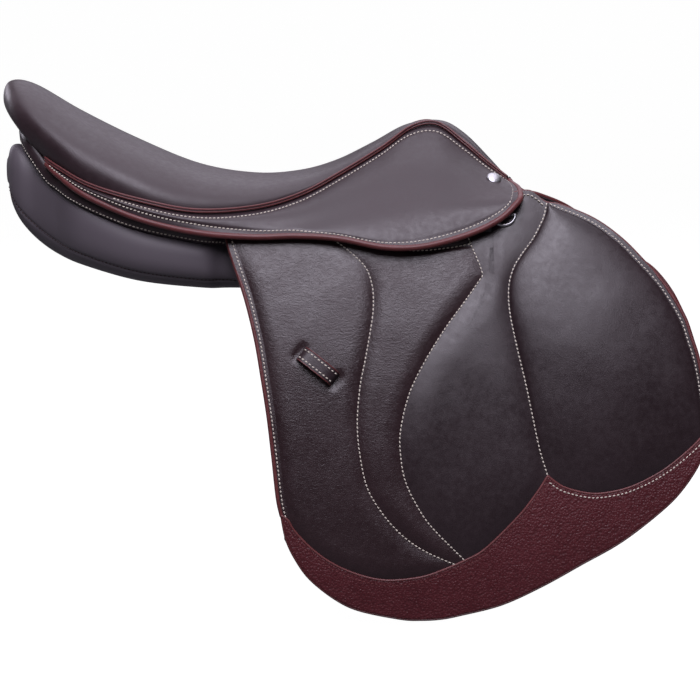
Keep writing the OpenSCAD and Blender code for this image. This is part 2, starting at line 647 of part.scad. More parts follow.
// Middle of a rolled binding that runs along the skirt's lower edge, beyond the end of its leather
function beyond_edge(t, edge, down, out) =
    let (d = 0.01, across_edge = unit(cross(skirt_edge(min(t + d, 1)) - skirt_edge(max(t - d, 0)), out)))
    edge - skirt_t / 2 * out + (binding_r + clearance) * sign(across_edge * down) * across_edge;

module skirt_binding() {
    places = [for (t = skirt_places) if (t < lip_start) t];
    path = [for (t = places) beyond_edge(t, skirt_edge(t), skirt_edge(t) - skirt_seam(t), skirt_out(t))];
    color("#6e2f3a") loft(rope(path, binding_r, binding_r, [0, 0, 1], binding_sides));
}

module lip_binding() {
    path = [for (i = [0 : lip_rows]) let (u = pick(lip_span_shares, i / lip_rows))
        beyond_edge(mix(lip_start, 1, u), lip_point(u, 1), lip_drop(u), lip_out(u))];
    color("#6e2f3a") loft(rope(path, binding_r, binding_r, [0, 0, 1], binding_sides));
}

module piping() {
    d = 0.02;
    path = [for (t = skirt_places)
        let (run = seat_side(skirt_rows_of_seat, t + d) - seat_side(skirt_rows_of_seat, t - d))
        seat_side(skirt_rows_of_seat, t) + (piping_r + clearance) * outward([-run[1], run[0], 0])];
    color("#6e2f3a") loft(rope(path, piping_r, piping_r, [0, 0, 1], piping_sides));
}

module saddle_nail() {
    d = 0.05;
    t = nail_place_shares[0];
    w = nail_place_shares[1];
    along = skirt_point(t + d, w) - skirt_point(t - d, w);
    n = outward(cross(along, skirt_point(t, w + d) - skirt_point(t, w - d)));
    place = skirt_point(t, w) + 2 * clearance * n;
    crown_r = 2 * nail_r;
    color("#d0d3d6") translate(place) rotate([0, acos(n[2]), atan2(n[1], n[0])]) intersection() {
        cylinder(r = nail_r, h = nail_r, $fn = 48);
        translate([0, 0, -crown_r * cos(30) + nail_r / 4]) sphere(crown_r, $fn = 64);
    }
}

// Flap surface on the right: x along the horse, s down the leather from the fold, h outward from it
barrel_y = -flap_spread / 2 + barrel_radius * cos(flap_lean);
barrel_z = fold_height - barrel_radius * sin(flap_lean);
function lean_at(s) = flap_lean - s / barrel_radius * 180 / PI;
function flap_point(x, s, h) =
    let (a = lean_at(s), r = barrel_radius + h) [x, barrel_y - r * cos(a), barrel_z + r * sin(a)];
function flap_x(share) = flap_front + (share - 1) * flap_width;
function on_leather(p, h) = flap_point(flap_x(p[0]), p[1] * flap_drop, h);

module on_flap(x, s, h) {
    translate(flap_point(x, s, h)) rotate([90 - lean_at(s), 0, 0]) children();
}

// Leather bent to the horse's side: an outline of x and s, between two layers
module barrel_plate(outline, h0, h1) {
    start = lean_at(-flap_drop / 3);
    sweep = start - lean_at(1.2 * flap_drop);
    depth = flap_spread;
    intersection() {
        translate([0, barrel_y, barrel_z]) rotate([-90, 0, 0]) rotate([0, 90, 0]) rotate([0, 0, -start])
            rotate_extrude(angle = sweep, $fn = 360)
                translate([barrel_radius + h0, flap_front - 1.5 * flap_width])
                    square([h1 - h0, 2 * flap_width]);
        rotate([90, 0, 0]) linear_extrude(depth)
            polygon([for (p = outline) let (q = flap_point(p[0], p[1], h0)) [q[0], q[2]]]);
    }
}

function traced(table, steps) = [for (i = [0 : steps - 1]) spline(table, i / steps)];
function measured(outline) = [for (p = outline) [flap_x(p[0]), p[1] * flap_drop]];

module flap() {
    front = reversed(front_edge_shares);
    outline = measured(concat(
        traced(rear_edge_shares, edge_steps / 3), traced(bottom_edge_shares, 2 * edge_steps),
        traced(front, edge_steps / 2), [front[len(front) - 1]]));
    color("#37323a") barrel_plate([for (p = outline) [p[0], max(p[1], fold_gap)]], 0, flap_t);
}

module flap_head() {
    outline = measured(concat(head_rear_shares, traced(head_front_shares, edge_steps),
        [head_front_shares[len(head_front_shares) - 1]]));
    color("#37323a") barrel_plate([for (p = outline) [p[0], min(p[1], -fold_gap)]], 0, flap_head_t);
}

// Patch with four curved sides, as shares of the flap
function patch(left, right, low, u, v) =
    let (a = spline(left, v), b = spline(right, v), top = mix(left[0], right[0], u), base = spline(low, u))
    let (corner_a = left[len(left) - 1], corner_b = right[len(right) - 1])
    mix(a, b, u) + mix(top, base, v) - mix(mix(left[0], right[0], u), mix(corner_a, corner_b, u), v);

function crown(u, v, square) = (1 - pow(abs(2 * u - 1), square)) * (1 - pow(abs(2 * v - 1), square));

module pad(left, right, low, rise, square) {
    base = flap_t + clearance;
    top = [for (v = pad_down_shares) [for (u = pad_across_shares)
        on_leather(patch(left, right, low, u, v), base + pad_edge_t + rise * crown(u, v, square))]];
    under = [for (v = pad_down_shares) [for (u = pad_across_shares)
        on_leather(patch(left, right, low, u, v), base)]];
    sheet(top, under);
}

module rear_pad() {
    color("#443e46") pad(rear_edge_shares, rear_seam_shares, guard_rear_shares, flap_pad, pad_square);
}

module centre_pad() {
    color("#443e46") pad(rear_seam_shares, calf_seam_shares, guard_centre_shares, flap_pad, pad_square);
}

module calf_pad() {
    color("#2f2b32") pad(calf_seam_shares, knee_seam_shares, guard_calf_shares, flap_pad, pad_square);
}

// The knee pad's front follows the flap's edge as far as the guard, which it meets at its corner
knee_front_last = len(guard_knee_shares) - 1;
knee_front_shares = [for (i = [0 : knee_front_last])
    i < knee_front_last ? spline(front_edge_shares, knee_front_reach_share * i / knee_front_last)
        : guard_knee_shares[i]];

module knee_pad() {
    color("#3a353c")
        pad(knee_seam_shares, knee_front_shares, guard_knee_shares, knee_pad_rise, knee_pad_round);
}

module flap_guard() {
    upper = [for (table = [guard_knee_shares, guard_calf_shares, guard_rear_shares])
        each reversed(traced(table, guard_steps))];
    outline = measured(concat(traced(bottom_edge_shares, 2 * edge_steps),
        [guard_knee_shares[knee_front_last]], upper));
    base = flap_t + sewn_room;
    color("#5a1f2b") barrel_plate(outline, base, base + guard_t);
}

// Keeper loop that stands on the rear pad, open below its strip
module keeper() {
    base = flap_t + clearance + pad_edge_t + flap_pad + sewn_room;
    rise = keeper_gap + keeper_t;
    inner = keeper_length - 2 * keeper_t;
    color("#4a2a32") on_flap(flap_x(keeper_place_shares[0]), keeper_place_shares[1] * flap_drop, base)
        rotate([0, 0, -keeper_turn]) translate([0, keeper_width / 2, 0]) rotate([90, 0, 0])
            linear_extrude(keeper_width) difference() {
                union() {
                    translate([-keeper_length / 2, 0]) square([keeper_length, rise - keeper_corner]);
                    translate([keeper_corner - keeper_length / 2, 0])
                        square([keeper_length - 2 * keeper_corner, rise]);
                    for (side = [-1, 1])
                        translate([side * (keeper_length / 2 - keeper_corner), rise - keeper_corner])
                            circle(keeper_corner, $fn = 48);
                }
                translate([-inner / 2, -cut_over]) square([inner, keeper_gap + cut_over]);
            }
}

module sweat_flap() {
    outline = measured(concat(sweat_top_shares, traced(sweat_front_shares, edge_steps / 2),
        traced(sweat_bottom_shares, edge_steps)));
    color("#332e35") barrel_plate(outline, sweat_out - sweat_flap_t, sweat_out);
}

// Girth strap that hangs from its rivet, with punched holes and a pointed end
function strap_x(index) = strap_middle_x + index * strap_pitch;
function strap_out(index) = index == 0 ? strap_out_b : strap_out_a;

module strap(index) {
    x = strap_x(index);
    h = strap_out(index);
    half = strap_w / 2;
    end = rivet_drop + strap_length;
    top = rivet_drop - strap_top;
    outline = [[x - half, top], [x + half, top], [x + half, end - strap_tip],
        [x + half / 2, end], [x - half / 2, end], [x - half, end - strap_tip]];
    color("#2c262b") difference() {
        barrel_plate(outline, h - strap_t, h);
        on_flap(x, rivet_drop, h - strap_t)
            cylinder(r = rivet_r + pin_room, h = 4 * strap_t, center = true, $fn = 32);
        for (k = [0 : strap_holes - 1]) on_flap(x, rivet_drop + first_hole + k * hole_pitch, h - strap_t)
            cylinder(r = hole_r, h = 4 * strap_t, center = true, $fn = 24);
    }
}

// Rivets of all six straps: a collar on the web, the shank in the strap and a flat head
module strap_rivets() {
    head_r = rivet_head_share * rivet_r;
    color("#b0b3b8") for (side = [0, 1], index = [-1, 0, 1]) mirror([0, side, 0])
        on_flap(strap_x(index), rivet_drop, strap_out(index)) {
            foot = web_out + sewn_room - strap_out(index);
            collar = -strap_t - clearance;
            translate([0, 0, foot]) cylinder(r = rivet_r, h = clearance - foot, $fn = 32);
            translate([0, 0, foot]) cylinder(r = head_r, h = max(collar - foot, sewn_room), $fn = 32);
            translate([0, 0, clearance]) cylinder(r = head_r, h = rivet_head_t, $fn = 32);
        }
}

tree_rim_share = tree_place_shares[len(tree_place_shares) - 1];

// Girth web: lies under the straps and leans in to the tree's edge behind the stirrup bar
function tree_edge_at(x) =
    let (t = lookup(x, [for (i = [0 : tree_edge_steps]) let (q = pick(tree_edge_span, i / tree_edge_steps))
        [floor_layer(q, tree_rim_share, tree_depth)[0], q]]))
    floor_layer(t, tree_rim_share, tree_depth + tree_t / 2);

module girth_web() {
    half = strap_w / 2 + girth_web_margin;
    back = strap_x(-1) - half;
    front = strap_x(1) + half;
    leaning = round(girth_web_rows * (girth_web_lean_end - back) / (front - back));
    levels = [girth_web_low, 0, girth_web_high];
    into = girth_web_t / sqrt(2) * [0, 1, -1];
    function row(x, h, drop) = let (top = flap_point(x, girth_web_high, h))
        let (rail = tree_edge_at(x) + clearance * [0, -3, 0] + drop)
        concat([for (s = levels) flap_point(x, s, h)], [mix(top, rail, 0.5), rail]);
    places = [for (i = [0 : girth_web_rows]) mix(back, front, i / girth_web_rows)];
    color("#d9d2c0") sheet([for (x = places) row(x, web_out, [0, 0, 0])],
        [for (x = places) row(x, web_out - girth_web_t, into)], function(i, j) j < 2 || i < leaning);
}

// Chape: a folded leather tab whose tunnel carries the dee ring's straight bar
module dee_chape() {
    color("#3f3a40") on_flap(dee_x, dee_drop, dee_h) difference() {
        union() {
            translate([-chape_w / 2, 0, 0]) rotate([0, 90, 0])
                cylinder(r = chape_r, h = chape_w, $fn = 48);
            translate([-chape_w / 2, 0, -chape_r]) cube([chape_w, chape_tail, chape_t]);
        }
        translate([-chape_w, 0, 0]) rotate([0, 90, 0])
            cylinder(r = dee_wire_r + pin_room, h = 2 * chape_w, $fn = 48);
    }
}

module dee_ring() {
    color("#d0d3d6") on_flap(dee_x, dee_drop, dee_h) union() {
        translate([-dee_bow_r, 0, 0]) rotate([0, 90, 0])
            cylinder(r = dee_wire_r, h = 2 * dee_bow_r, $fn = 48);
        rotate([0, 0, 180]) rotate_extrude(angle = 180, $fn = 64)
            translate([dee_bow_r, 0]) circle(dee_wire_r, $fn = 48);
        for (side = [-1, 1]) translate([side * dee_bow_r, 0, 0]) sphere(dee_wire_r, $fn = 48);
    }
}

// Panel cushion on the right: t from its rear end to its front end, turn round the section from outward
function panel_point(t, turn, grow = 0) =
    let (p = spline(panel_shares, t), c = cos(turn), s = sin(turn))
    let (out = (p[3] * panel_half_w + grow) * sign(c) * pow(abs(c), panel_square_share))
    let (up = (p[4] * panel_half_d + grow) * sign(s) * pow(abs(s), panel_square_share))
    [seat_x(p[0]), -p[1] * flap_spread / 2 - out * cos(p[5]) - up * sin(p[5]),
        p[2] * seat_height + up * cos(p[5]) - out * sin(p[5])];

module panel() {
    rings = [for (i = [0 : panel_rows]) [for (k = [0 : panel_sides - 1])
        panel_point(i / panel_rows, 360 * k / panel_sides)]];
    color("#4b444b") loft(rings);
}

// Rolled band from the right flap round the back of the saddle to the left flap
module panel_band() {
    side = [for (i = [0 : band_rows])
        panel_point(pick(band_span_shares, 1 - i / band_rows), band_turn, band_half_h)];
    back = [for (p = band_back_shares) [seat_x(p[0]), -p[1] * seat_width / 2, p[2] * seat_height]];
    half = concat(side, back);
    other = [for (i = [len(half) - 2 : -1 : 0]) [half[i][0], -half[i][1], half[i][2]]];
    color("#3f3a40") loft(rope(concat(half, other), band_half_t, band_half_h, [0, 0, 1], band_sides));
}

// Lining that closes the top of the channel between the two cushions
module panel_lining() {
    function edge(a) = panel_point(pick(lining_span_shares, a), lining_turn, clearance);
    function row(a, drop) = let (e = edge(a))
        [for (w = [-1, -0.5, 0, 0.5, 1]) [e[0], -e[1] * w, e[2] + lining_t * (3 - 2 * w * w) - drop]];
    color("#2c262b") sheet([for (i = [0 : lining_rows]) row(i / lining_rows, 0)],
        [for (i = [0 : lining_rows]) row(i / lining_rows, lining_t)]);
}

// Pieces of the two sides
module on_left() {
    mirror([0, 1, 0]) children();
}

tree();
head_plate();
tree_springs();
tree_rivets();
seat_web();
seat_foam();
seat_leather();
panel_band();
panel_lining();
strap_rivets();
piping();  // right_piping
on_left() piping();  // left_piping
skirt();  // right_skirt
on_left() skirt();  // left_skirt
skirt_binding();  // right_skirt_binding
on_left() skirt_binding();  // left_skirt_binding
saddle_nail();  // right_saddle_nail
on_left() saddle_nail();  // left_saddle_nail
skirt_lip();  // right_skirt_lip
on_left() skirt_lip();  // left_skirt_lip
lip_binding();  // right_lip_binding
on_left() lip_binding();  // left_lip_binding
stirrup_bar();  // right_stirrup_bar
on_left() stirrup_bar();  // left_stirrup_bar
bar_catch();  // right_bar_catch
on_left() bar_catch();  // left_bar_catch
dee_chape();  // right_dee_chape
on_left() dee_chape();  // left_dee_chape
dee_ring();  // right_dee_ring
on_left() dee_ring();  // left_dee_ring
flap_head();  // right_flap_head
on_left() flap_head();  // left_flap_head
flap();  // right_flap
on_left() flap();  // left_flap
rear_pad();  // right_rear_pad
on_left() rear_pad();  // left_rear_pad
centre_pad();  // right_centre_pad
on_left() centre_pad();  // left_centre_pad
calf_pad();  // right_calf_pad
on_left() calf_pad();  // left_calf_pad
knee_pad();  // right_knee_pad
on_left() knee_pad();  // left_knee_pad
flap_guard();  // right_flap_guard
on_left() flap_guard();  // left_flap_guard
keeper();  // right_keeper
on_left() keeper();  // left_keeper
sweat_flap();  // right_sweat_flap
on_left() sweat_flap();  // left_sweat_flap
girth_web();  // right_girth_web
on_left() girth_web();  // left_girth_web
strap(1);  // right_front_strap
on_left() strap(1);  // left_front_strap
strap(0);  // right_middle_strap
on_left() strap(0);  // left_middle_strap
strap(-1);  // right_rear_strap
on_left() strap(-1);  // left_rear_strap
panel();  // right_panel
on_left() panel();  // left_panel
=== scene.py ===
"""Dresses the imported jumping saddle: its leathers, pads, edging, stitching, fittings and studio."""

import bmesh
import bpy
import numpy as np
from bpy.props import FloatProperty, FloatVectorProperty, PointerProperty
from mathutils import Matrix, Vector


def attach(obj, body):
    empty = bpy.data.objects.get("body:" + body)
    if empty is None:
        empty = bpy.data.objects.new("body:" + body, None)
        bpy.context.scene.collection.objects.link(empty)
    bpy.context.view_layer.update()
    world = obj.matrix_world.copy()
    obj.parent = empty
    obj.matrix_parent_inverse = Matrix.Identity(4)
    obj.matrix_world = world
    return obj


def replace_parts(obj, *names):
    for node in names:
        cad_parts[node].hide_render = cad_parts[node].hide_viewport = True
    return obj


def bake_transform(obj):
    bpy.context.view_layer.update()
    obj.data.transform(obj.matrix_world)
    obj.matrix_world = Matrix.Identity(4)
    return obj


bl_info = {
    "name": "Jumping Saddle",
    "version": (1, 0, 0),
    "blender": (4, 5, 0),
    "location": "View3D > Sidebar > Saddle",
    "description": "Builds the leathers, pads, edging, stitching, finishes and studio of a jumping saddle",
    "category": "Add Mesh",
}

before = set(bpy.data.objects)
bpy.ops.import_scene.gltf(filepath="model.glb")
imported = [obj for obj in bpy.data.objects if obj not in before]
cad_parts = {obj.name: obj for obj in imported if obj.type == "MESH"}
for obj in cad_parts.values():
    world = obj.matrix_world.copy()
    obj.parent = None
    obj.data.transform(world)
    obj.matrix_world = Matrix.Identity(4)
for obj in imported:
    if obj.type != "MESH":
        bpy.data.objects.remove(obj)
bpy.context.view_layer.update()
SADDLE = "saddle"
SIDES = ("right", "left")

# Lengths are in millimetres until a mesh is made
MM = 0.001
CLEAR = 0.4
SEWN = 0.1
SEAT_LENGTH, SEAT_WIDTH, SEAT_HEIGHT, SEAT_FRONT = 443.0, 244.0, 189.0, 143.0
SEAT_LEATHER_T, SEAT_FLAT = 2.4, 0.82
TREE_DEPTH, TREE_T = 2.3, 8.0
SKIRT_T, SKIRT_SWELL, BINDING_R, PIPING_R = 2.8, 5.0, 2.6, 1.8
SKIRT_START, LIP_START = 0.077, 0.5
FLAP_WIDTH, FLAP_DROP, FLAP_FRONT = 394.0, 294.0, 292.0
FLAP_SPREAD, FOLD_HEIGHT, FLAP_LEAN, BARREL_R = 246.0, 38.0, 21.0, 850.0
FLAP_T, HEAD_T, GUARD_T, PAD_EDGE = 3.0, 5.0, 2.2, 4.6
SWEAT_OUT, SWEAT_T, WEB_OUT, WEB_T = -13.3, 3.0, -11.4, 1.5
KEEPER_LENGTH, KEEPER_WIDTH, KEEPER_GAP, KEEPER_T = 38.0, 12.0, 7.0, 2.2
KEEPER_TURN, KEEPER_PLACE = np.radians(38.0), (0.192, 0.297)
KEEPER_DENT, KEEPER_DENT_REACH, KEEPER_EDGE, KEEPER_ROW = 1.5, (4.0, 8.0), 5.6, 3.7
# Foot of the keeper above the pads' sewn edge, how far its ends sink and its crown rises, and its squareness
KEEPER_FOOT, KEEPER_SINK, KEEPER_CROWN, KEEPER_SQUARE = 3.4, 3.6, 2.5, (0.5, 0.6)
PANEL_HALF_W, PANEL_HALF_D, PANEL_SQUARE = 44.0, 28.0, 0.77
BAND_HALF_H, BAND_HALF_T, BAND_TURN = 6.0, 3.6, 40.0
LINING_T, LINING_TURN = 2.0, 165.0
# Turn round the panel's section of its sewn seam, and round the band's of its stitched row
PANEL_SEAM, BAND_ROW = -34.0, np.radians(-42.0)
# Distance of the skirt's two stitched rows from its edges, and the most that they take of its width
SKIRT_HIGH, SKIRT_LOW, SKIRT_HIGH_SHARE, SKIRT_LOW_SHARE = 8.2, 5.4, 0.36, 0.3
ROW_TURN = 0.965
NAIL_PLACE, NAIL_TILT = (0.935, 0.34), np.array([0.0, -0.42, 0.0])
NAIL_RADII = (6.2, 6.4, 6.3, 5.9, 5.0, 3.8, 2.4, 1.0)
NAIL_RISES = (-1.0, 0.9, 1.5, 2.0, 2.6, 3.05, 3.35, 3.5)
# Along, thickness and rise of a stitch's five rings, as shares of its length and half width
STITCH_RINGS = np.array([[-0.5, 0.4, -0.75], [-0.36, 0.85, -0.2], [0.0, 1.0, 0.12], [0.36, 0.85, -0.2],
                         [0.5, 0.4, -0.75]])
PIPING_LEVELS, PIPING_OVAL, PIPING_CORE = (1.05, -1.05), (1.05, 0.95), (1.3, 1.5)
TRIM_HIGH, TRIM_OVAL, HEM_START = 3.4, (1.8, 1.9), (0.5615, -0.16)
# Thickness of a bound leather's burgundy edge, and how far it stands proud of both faces
SWEAT_EDGE, KEEPER_BEAD, EDGE_PROUD = 1.1, 0.8, 0.15
# Depth and half width of the valleys that a stitched row draws into its leather
SKIRT_GROOVE, PANEL_GROOVE, CENTRE_VALLEY = (0.6, 1.5), (1.1, 2.6), (1.5, 2.4)
SKIRT_BULGE, PAD_LIFT, PAD_UNEVEN, KNEE_POWER = 4.4, 1.1, 0.22, 0.55
# Height of the flap's threads: in the seams, below the centre pad's top, on the head and along the hems
SEAM_THREAD, CENTRE_SINK, HEAD_THREAD, HEM_THREAD = 0.45, 1.2, 6.95, 0.1
# Fold of the flap: its height above the base leather, and half the stretch over which a leather would bend;
# both are worked out in the blend helpers but not used
FOLD_OUT, FLAP_BEND, SKIRT_BEND = 3.4, 9.0, 4.0
PAD_LAID, GUARD_LAID, SEAT_WEB_T = 0.06, 0.05, 1.5
# Height and oval of the guard's upper and lower rim, and the inset of its two stitched rows
GUARD_RIMS, SCALLOP_INSET, TONAL_INSET = ((4.9, 1.0, 0.9), (2.3, 1.3, 2.5)), 3.3, 4.0
# Where the guard's scallop starts on the lower edge, fall and reach of its two rolled edges, its threads
GUARD_CORNER, GUARD_ROLLS = np.array([0.7, 0.876]), ((1.5, 1.8), (1.2, 2.2))
GUARD_THREAD, TONAL_LIFT = 0.08, -0.25
# Girth web: its ends along the horse, its lower and upper edge on the flap, and the end of its upper part
GIRTH_BACK, GIRTH_FRONT, GIRTH_LOW, GIRTH_HIGH, GIRTH_RAIL = -73.0, 61.0, 22.0, -13.0, 10.75
FLAP_SIZE = np.array([FLAP_WIDTH, FLAP_DROP])
BARREL_Y = -FLAP_SPREAD / 2 + BARREL_R * np.cos(np.radians(FLAP_LEAN))
BARREL_Z = FOLD_HEIGHT - BARREL_R * np.sin(np.radians(FLAP_LEAN))

# Studio, in metres and watts: place, target, size and power of each softbox, then the camera
LAMPS = (
    ("softbox_above", (0.0, 0.0, 2.0), (-0.02, 0.0, 0.0), 2.4, 29.0),
    ("softbox_front", (-0.15, -1.88, 2.05), (0.0, 0.0, -0.05), 2.1, 88.0),
    ("softbox_far", (0.3, 1.9, 1.7), (0.0, 0.0, 0.0), 2.4, 16.0),
    ("softbox_left", (-2.3, 2.1, 1.4), (0.0, 0.1, -0.05), 1.6, 29.0),
)
LAMP_COLOUR, SKY_LEVEL, FLOOR_GLOW = (0.92, 0.87, 1.0), 0.06, 0.98
CAMERA_PLACE, CAMERA_TARGET = (0.0, -1.8362, 0.1767), (0.0, 0.0, -0.0488)
CAMERA_LENS, CAMERA_SENSOR = 106.25, 36.0
# Backdrop: front and back of its floor, half its width, its level, the bend's radius and the wall above it
FLOOR_FRONT, FLOOR_BACK, FLOOR_HALF, FLOOR_LEVEL = -12000.0, 9000.0, 14000.0, -256.0
BEND_R, WALL_HIGH = 1500.0, 2500.0

# Seat rows from the front foot over pommel, dip and cantle to the back seam, as shares of the seat
SEAT_CENTRE = [
    (0.000, 0.53), (0.047, 0.655), (0.097, 0.77), (0.144, 0.825), (0.21, 0.806), (0.278, 0.722),
    (0.35, 0.64), (0.424, 0.592), (0.515, 0.58), (0.628, 0.625), (0.752, 0.744), (0.865, 0.877),
    (0.953, 0.996), (0.997, 1.006), (1.007, 0.93), (0.991, 0.86), (0.973, 0.81),
]
SEAT_EDGE = [
    (0.018, 0.525, 0.573), (0.056, 0.426, 0.643), (0.097, 0.328, 0.725), (0.151, 0.254, 0.812),
    (0.205, 0.27, 0.795), (0.264, 0.41, 0.702), (0.341, 0.57, 0.596), (0.418, 0.715, 0.503),
    (0.503, 0.86, 0.449), (0.612, 0.975, 0.437), (0.711, 1.0, 0.481), (0.808, 0.918, 0.545),
    (0.871, 0.795, 0.619), (0.901, 0.705, 0.661), (0.91, 0.672, 0.677), (0.914, 0.656, 0.683),
    (0.916, 0.639, 0.68),
]
FLOOR_CENTRE = [
    (0.016, 0.476), (0.059, 0.598), (0.104, 0.704), (0.147, 0.746), (0.21, 0.72), (0.278, 0.635),
    (0.35, 0.534), (0.424, 0.476), (0.515, 0.455), (0.628, 0.487), (0.752, 0.593), (0.856, 0.709),
    (0.923, 0.804), (0.944, 0.836), (0.953, 0.841), (0.957, 0.833), (0.959, 0.825),
]
FLOOR_EDGE = [
    (0.027, 0.459, 0.508), (0.063, 0.361, 0.587), (0.102, 0.262, 0.677), (0.151, 0.197, 0.735),
    (0.205, 0.246, 0.698), (0.264, 0.385, 0.587), (0.341, 0.549, 0.481), (0.418, 0.68, 0.407),
    (0.503, 0.803, 0.376), (0.612, 0.902, 0.381), (0.711, 0.926, 0.429), (0.808, 0.844, 0.492),
    (0.867, 0.73, 0.571), (0.892, 0.656, 0.619), (0.901, 0.623, 0.64), (0.905, 0.607, 0.651),
    (0.907, 0.598, 0.656),
]
# Lower edge of the skirt from its rear tip to its front corner
SKIRT_EDGE = [
    (0.91, 0.69, 0.66), (0.903, 0.725, 0.638), (0.878, 0.81, 0.588), (0.82, 0.96, 0.503),
    (0.72, 1.066, 0.407), (0.616, 1.075, 0.349), (0.51, 1.06, 0.328), (0.422, 1.06, 0.333),
    (0.345, 1.074, 0.32), (0.266, 1.115, 0.286), (0.205, 1.123, 0.283), (0.147, 1.1, 0.307),
    (0.084, 1.066, 0.354), (0.036, 1.04, 0.415), (0.005, 0.985, 0.49),
]
# Flap edges and seams, as shares of its width from the rear and of its drop below the fold
REAR_EDGE = [
    (-0.003, -0.088), (0.003, -0.05), (0.015, 0), (0.04, 0.1), (0.062, 0.217), (0.077, 0.33),
    (0.09, 0.441), (0.1, 0.552), (0.109, 0.66), (0.117, 0.71),
]
BOTTOM_EDGE = [
    (0.117, 0.71), (0.127, 0.775), (0.146, 0.83), (0.177, 0.887), (0.23, 0.943), (0.28, 0.974),
    (0.364, 0.997), (0.405, 1), (0.447, 0.997), (0.489, 0.986), (0.573, 0.957), (0.656, 0.906),
    (0.739, 0.844), (0.823, 0.78), (0.906, 0.694), (0.95, 0.633), (0.985, 0.56), (0.995, 0.505),
]
FRONT_EDGE = [
    (0.642, -0.213), (0.673, -0.18), (0.705, -0.171), (0.774, -0.13), (0.832, -0.07), (0.88, 0),
    (0.91, 0.046), (0.938, 0.103), (0.96, 0.16), (0.973, 0.217), (0.986, 0.28), (0.997, 0.38),
    (0.999, 0.44), (0.995, 0.505),
]
HEAD_TOP = [
    (-0.003, -0.088), (0.2, -0.088), (0.4, -0.088), (0.54, -0.088), (0.558, -0.1), (0.562, -0.17),
    (0.6, -0.205), (0.642, -0.213),
]
REAR_SEAM = [
    (0.19, -0.084), (0.229, -0.061), (0.265, -0.023), (0.293, 0.018), (0.305, 0.064), (0.308, 0.11),
    (0.305, 0.166), (0.292, 0.268), (0.28, 0.352), (0.274, 0.452), (0.279, 0.538), (0.294, 0.63),
    (0.324, 0.7), (0.366, 0.763), (0.414, 0.808), (0.478, 0.846),
]
CALF_SEAM = [
    (0.505, -0.085), (0.513, -0.055), (0.521, -0.028), (0.529, -0.002), (0.535, 0.022), (0.537, 0.037),
    (0.53, 0.053), (0.501, 0.109), (0.458, 0.189), (0.415, 0.282), (0.382, 0.374), (0.364, 0.474),
    (0.364, 0.544), (0.374, 0.616), (0.399, 0.685), (0.43, 0.744), (0.497, 0.834),
]
KNEE_SEAM = [
    (0.676, -0.178), (0.67, -0.14), (0.661, -0.111), (0.645, -0.07), (0.62, -0.023), (0.602, 0.018),
    (0.592, 0.07), (0.593, 0.138), (0.605, 0.228), (0.623, 0.335), (0.637, 0.427), (0.652, 0.524),
    (0.669, 0.6),
]
GUARD_REAR = [
    (0.117, 0.71), (0.13, 0.722), (0.14, 0.745), (0.157, 0.772), (0.18, 0.802), (0.211, 0.833),
    (0.246, 0.858), (0.29, 0.879), (0.334, 0.889), (0.378, 0.886), (0.422, 0.875), (0.478, 0.846),
]
GUARD_CENTRE = [(0.478, 0.846), (0.497, 0.834)]
# Sewn top of the centre pad, under the skirt's edge
CENTRE_TOP = [
    (0.38, -0.034), (0.4, -0.035), (0.424, -0.036), (0.449, -0.04), (0.481, -0.046), (0.514, -0.055),
]
GUARD_CALF = [
    (0.497, 0.834), (0.53, 0.811), (0.566, 0.769), (0.616, 0.7), (0.651, 0.638), (0.669, 0.6),
]
GUARD_KNEE = [
    (0.669, 0.6), (0.701, 0.63), (0.749, 0.647), (0.787, 0.647), (0.841, 0.63), (0.904, 0.588),
    (0.958, 0.533), (0.995, 0.485),
]
# Stitched hem of the flap's head, ahead of the skirt
HEAD_HEM = [(0.574, -0.168), (0.604, -0.191), (0.64, -0.199), (0.669, -0.168)]
SWEAT_TOP = [(0.07, -0.03), (0.4, -0.03), (0.75, -0.03), (0.83, -0.042)]
SWEAT_FRONT = [
    (0.83, -0.042), (0.888, -0.022), (0.934, 0.048), (0.963, 0.127), (0.98, 0.192), (0.99, 0.265),
    (0.982, 0.4), (0.93, 0.55),
]
SWEAT_LOW = [
    (0.165, 0.76), (0.25, 0.87), (0.38, 0.91), (0.52, 0.885), (0.68, 0.81), (0.84, 0.69), (0.93, 0.55),
]
SWEAT_REAR = [(0.07, -0.03), (0.085, 0.15), (0.105, 0.33), (0.13, 0.55), (0.165, 0.76)]
# Panel stations from rear to front: place, centre, half width, half depth and tilt
PANEL_STATIONS = [
    (0.988, 0.36, 0.6, 0.12, 0.44, 0), (0.98, 0.37, 0.578, 0.34, 0.9, 0),
    (0.962, 0.38, 0.54, 0.46, 1.2, 0), (0.93, 0.4, 0.48, 0.52, 1.33, 0),
    (0.887, 0.47, 0.409, 0.64, 1.27, 0), (0.831, 0.57, 0.343, 0.86, 1.14, 0),
    (0.725, 0.634, 0.259, 1.0, 1.0, 0), (0.605, 0.62, 0.21, 1.0, 0.88, 0),
    (0.55, 0.565, 0.197, 0.85, 0.82, 0), (0.413, 0.54, 0.172, 0.8, 0.62, 10),
    (0.278, 0.52, 0.172, 0.78, 0.52, 24), (0.165, 0.52, 0.185, 0.86, 0.46, 40),
    (0.075, 0.545, 0.18, 0.95, 0.44, 44), (-0.016, 0.575, 0.175, 0.78, 0.38, 44),
    (-0.04, 0.58, 0.175, 0.5, 0.2, 44),
]
BAND_BACK = [(0.942, 0.56, 0.722), (0.962, 0.29, 0.77), (0.969, 0, 0.785)]


# ---------------------------------------------------------------- curves and grids

def unit(v):
    """A direction: the vector over its own length."""
    return v / np.maximum(np.linalg.norm(v, axis=-1, keepdims=True), 1e-9)


def mix(a, b, t):
    """Straight blend from a to b."""
    return a + (b - a) * t


